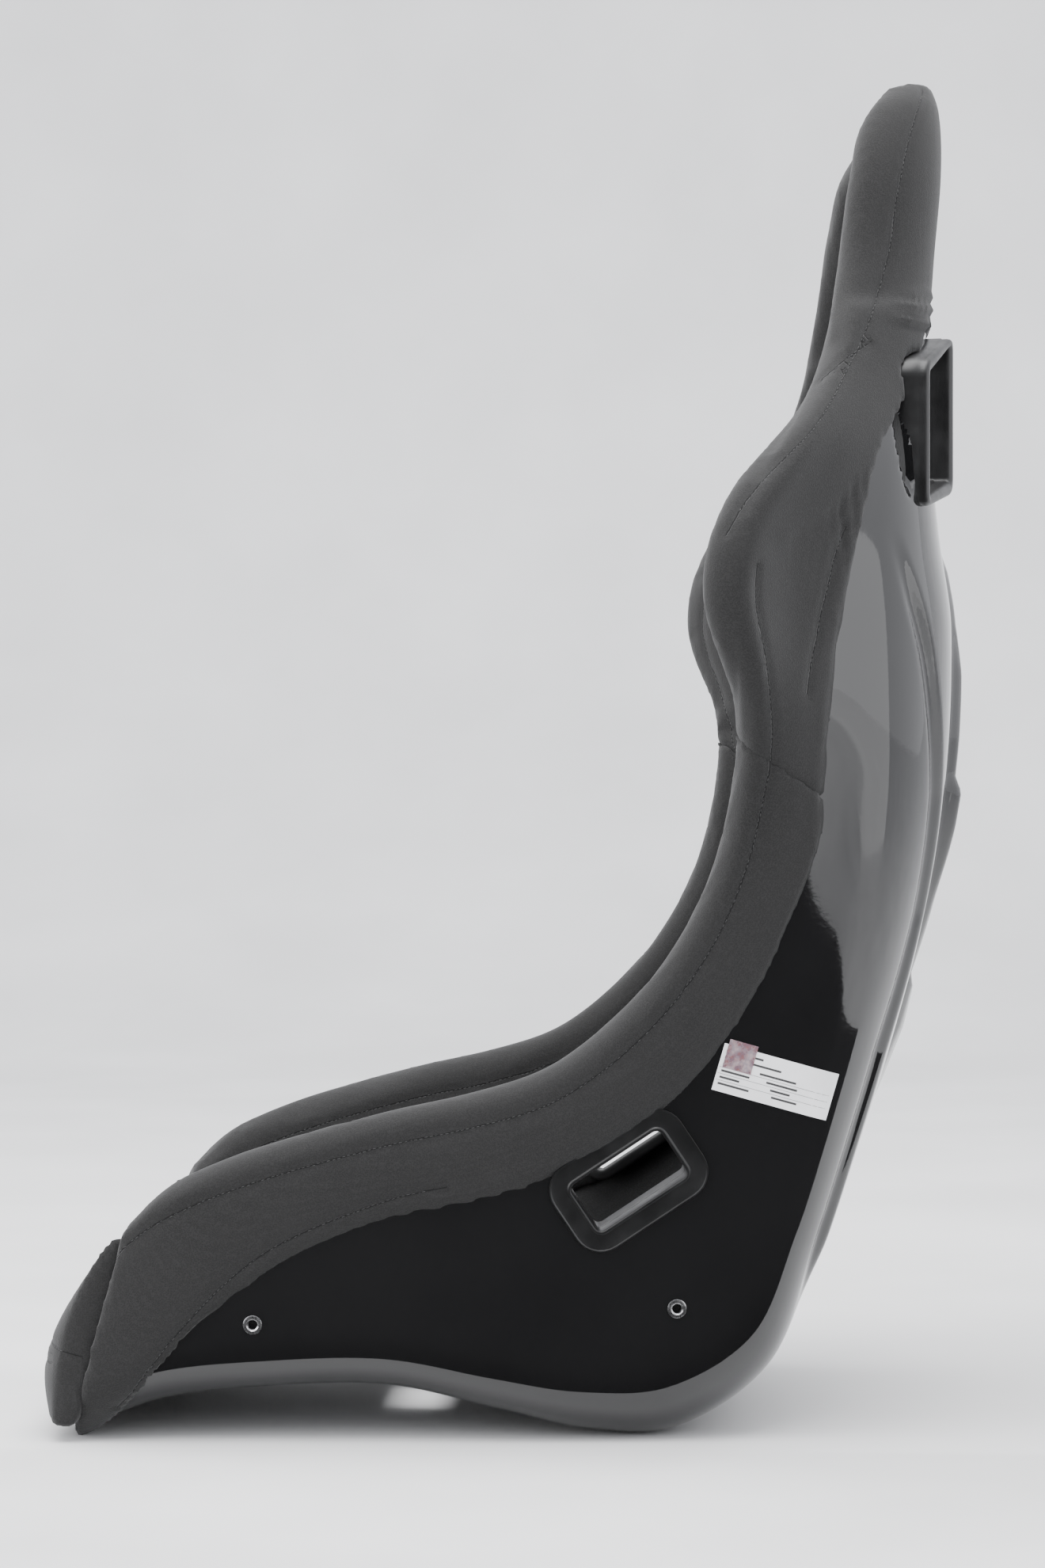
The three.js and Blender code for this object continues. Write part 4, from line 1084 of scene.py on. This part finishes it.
def bezels():
    for key, slot in SLOTS.items():
        sides = (("", 1.0),) if key == "crotch" else (("_left", 1.0), ("_right", -1.0))
        profile = raised_bezel_profile if key == "shoulder" else flat_bezel_profile
        for suffix, flip in sides:
            outer = swept_ring(f"{key}_bezel_moulding{suffix}", slot, profile(slot["meet"]), flip)
            settle(outer, "shell", "bezel_plastic", f"{key}_slot_bezel{suffix}")
            inside = inner_bezel_profile(slot, INNER_SKIRT[key])
            inner = swept_ring(f"{key}_inner_moulding{suffix}", slot, inside, flip)
            settle(inner, "shell", "bezel_plastic", f"{key}_slot_inner_bezel{suffix}")


BORE, THREAD_DEPTH, THREAD_PITCH, INSERT_END = 3.3, 0.35, 1.24, -12.5
# an insert's outside as (radius, height): the rolled flange, then the body
INSERT_OUTSIDE = [(3.9, 1.5), (4.3, 1.9), (6.0, 1.9), (6.5, 1.6), (6.65, 1.1), (6.5, 0.6), (5.6, 0.5),
                  (5.6, -12), (5.2, INSERT_END)]


def side_inserts():
    """Flanged nuts with a rolled flange and a threaded bore."""
    thread = [(BORE + THREAD_DEPTH * (i % 2), INSERT_END + THREAD_PITCH / 2 * i) for i in range(22)]
    profile = INSERT_OUTSIDE + thread + [(BORE, 1.2)]
    for where, (origin, x, y, z) in INSERT_FRAMES.items():
        for side, flip in (("left", 1.0), ("right", -1.0)):
            rings = []
            for angle in np.linspace(0, 2 * math.pi, 48, endpoint=False):
                spoke = math.cos(angle) * x + math.sin(angle) * y
                rings.append(flipped([origin + spoke * r + z * h for r, h in profile], flip))
            nut = ring_around(f"threaded_insert_{where}_{side}", rings, STEEL, 40)
            settle(nut, "shell", "insert_steel", f"side_insert_{where}_{side}")


LABEL = dict(y=182, z=246.5, tilt=-16, size=(81.5, 33))
SEAL = dict(y=158, z=264, tilt=-16, size=(20, 20))
# bars on the label, as [left, right, height] in its own frame, in place of print
BARS = [(-38, -12, 12), (-38, 2, 7.5), (-38, -22, 2.5), (-12, 14, 2.5), (-38, -18, -2), (-6, 16, -2),
        (-38, -24, -6.5), (-2, 12, -6.5), (-38, -16, -11), (0, 18, -11)]
RULES = [(-40, 38, 0.3), (-40, 38, -4.2), (-40, 38, -8.8)]
BAR_HALF, RULE_HALF, PRINT_LIFT = 0.7, 0.12, 0.6


def side_point(patch, p, q, lift):
    """A point (p, q) of a patch's own plane, laid on the shell's side."""
    turn = math.radians(patch["tilt"])
    wanted = (patch["y"] + p * math.cos(turn) - q * math.sin(turn),
              patch["z"] + p * math.sin(turn) + q * math.cos(turn))
    u, v = locate((1, 2), wanted, (8, 0.8))
    plain = surface(u, v)
    return plain + normals(u, v) * (lift + float(shell_relief(u, v, plain)))


def patch_piece(name, patch, rect, lift, thick, material, columns=7, rows=4):
    """A thin film that follows the side wall over a rectangle (left, right, low, high) of a patch."""
    left, right, low, high = rect
    grids = [[[side_point(patch, p, q, h) for q in np.linspace(low, high, rows)]
              for p in np.linspace(left, right, columns)] for h in (lift, lift + thick)]
    rings = [np.concatenate([under, over[::-1]]) for under, over in zip(*map(np.array, grids))]
    return solid(name, rings, [material], shade=False)


def printed(name, left, right, height, half, thick, columns):
    rect = (left, right, height - half, height + half)
    mark = patch_piece(name, LABEL, rect, PRINT_LIFT, thick, INK, columns, 2)
    settle(mark, "shell", "label_white")


def labels():
    a, b = LABEL["size"][0] / 2, LABEL["size"][1] / 2
    label = patch_piece("compliance_label", LABEL, (-a, a, -b, b), 0.25, 0.35, LABEL_FILM, 21, 5)
    settle(label, "shell", "label_white", "data_label")
    for index, (left, right, height) in enumerate(BARS):
        printed(f"label_bar_{index}", left, right, height, BAR_HALF, 0.05, 9)
    for index, (left, right, height) in enumerate(RULES):
        printed(f"label_rule_{index}", left, right, height, RULE_HALF, 0.04, 21)
    c, d = SEAL["size"][0] / 2, SEAL["size"][1] / 2
    seal = patch_piece("seal_film_patch", SEAL, (-c, c, -d, d), 0.75, 0.3, SEAL_FILM)
    settle(seal, "shell", "sticker_film", "seal_sticker")


def keep_cad_nodes():
    """CAD pieces whose shape is right: only their material changes."""
    for name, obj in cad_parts.items():
        material = TAPE if "tape" in name else PLATE if name.startswith("insert_plate") else None
        if material:
            obj.data.materials.clear()
            obj.data.materials.append(material)


# ---------------------------------------------------------------- stage, light and camera
def stage_mesh(name, points, faces, material):
    mesh = bpy.data.meshes.new(name)
    mesh.from_pydata(points, [], faces)
    mesh.materials.append(material)
    mesh.polygons.foreach_set("use_smooth", [True] * len(mesh.polygons))
    obj = bpy.data.objects.new(name, mesh)
    scene.collection.objects.link(obj)
    return obj


def dark_card(name, points, shade):
    """A dark sheet that only the gloss shell's reflections see."""
    card = stage_mesh(name, points, [(0, 1, 2, 3)], shade)
    card.visible_camera = card.visible_diffuse = card.visible_shadow = card.visible_transmission = False


def softbox(name, place, target, size, power):
    data = bpy.data.lights.new(name, "AREA")
    data.shape, data.size, data.size_y, data.energy = "RECTANGLE", size[0], size[1], power
    obj = bpy.data.objects.new(name, data)
    scene.collection.objects.link(obj)
    obj.location = place
    obj.rotation_euler = (Vector(target) - Vector(place)).to_track_quat("-Z", "Y").to_euler()


CAMERA_PLACE = np.array([2800.0, 74.4, 455.0])
CAMERA_LOOK = (-1.0, -0.02497, -0.00208)
LENS, SENSOR = 87.3636, 36.0
SWEEP_START, SWEEP_RADIUS, SWEEP_TOP = -3.0, 2.0, 7.0  # where the floor turns up behind the seat
FLOOR_HALF = 9.0
CARD_LIFT = 0.002
SKY, SKY_STRENGTH = (0.95, 0.96, 1.0, 1), 1.9


def floor_sweep(ground, material):
    """A floor that rises behind the seat in one curve, so that no horizon shows."""
    bend = [(SWEEP_START - SWEEP_RADIUS * math.sin(a), SWEEP_RADIUS * (1 - math.cos(a)))
            for a in np.linspace(0, math.pi / 2, 12)]
    profile = [(FLOOR_HALF, 0.0)] + bend + [(SWEEP_START - SWEEP_RADIUS, SWEEP_TOP)]
    points = [(x, y, ground + z) for y in (-FLOOR_HALF, FLOOR_HALF) for x, z in profile]
    count = len(profile)
    stage_mesh("floor", points, [(i, i + 1, count + i + 1, count + i) for i in range(count - 1)], material)


def cards(ground, material):
    """Two dark cards, on the floor and beyond the camera, that keep the shell's side black."""
    low = ground + CARD_LIFT
    dark_card("floor_card", [(0.22, -2.2, low), (4.5, -2.2, low), (4.5, 1.2, low), (0.22, 1.2, low)],
              material)
    dark_card("side_card", [(3.6, -2.6, ground), (3.6, 2.9, ground), (3.6, 2.9, 2.6), (3.6, -2.6, 2.6)],
              material)


def studio():
    pale = plain_look("pale_floor", (0.82, 0.82, 0.82), 0.6, 3)
    black = plain_look("card_black", (0.01, 0.01, 0.01), 0.9, 3)
    ground = cad_box[0][2] - 0.001
    floor_sweep(ground, pale)
    cards(ground, black)
    world = bpy.data.worlds.new("studio")
    world.use_nodes = True
    world.node_tree.nodes["Background"].inputs["Color"].default_value = SKY
    world.node_tree.nodes["Background"].inputs["Strength"].default_value = SKY_STRENGTH
    scene.world = world
    softbox("overhead", (0.4, -0.2, 2.6), (0, 0, 0.3), (2.6, 2.6), 150)
    softbox("front_fill", (1.2, -2.6, 1.3), (0, 0, 0.35), (1.8, 1.8), 40)
    softbox("rear_panel", (1.7, 2.9, 0.9), (0, 0.1, 0.4), (1.6, 2.6), 16)


def camera():
    data = bpy.data.cameras.new("camera")
    data.sensor_width, data.lens = SENSOR, LENS
    data.clip_start = 0.05
    obj = bpy.data.objects.new("camera", data)
    scene.collection.objects.link(obj)
    obj.location = Vector((CAMERA_PLACE + SHIFT) * MM)
    obj.rotation_euler = Vector(CAMERA_LOOK).to_track_quat("-Z", "Y").to_euler()
    scene.camera = obj


camera()
studio()
gloss_shell()
lower_bolsters()
upper_cover()
front_cover()
lining("pan_lining_cover", 0.35, HEEL_SEAM, "pan_lining")
lining("back_lining_cover", HEEL_SEAM, HEAD_SEAM + 0.1, "back_lining")
seat_cushion()
back_cushion()
bezels()
side_inserts()
labels()
keep_cad_nodes()
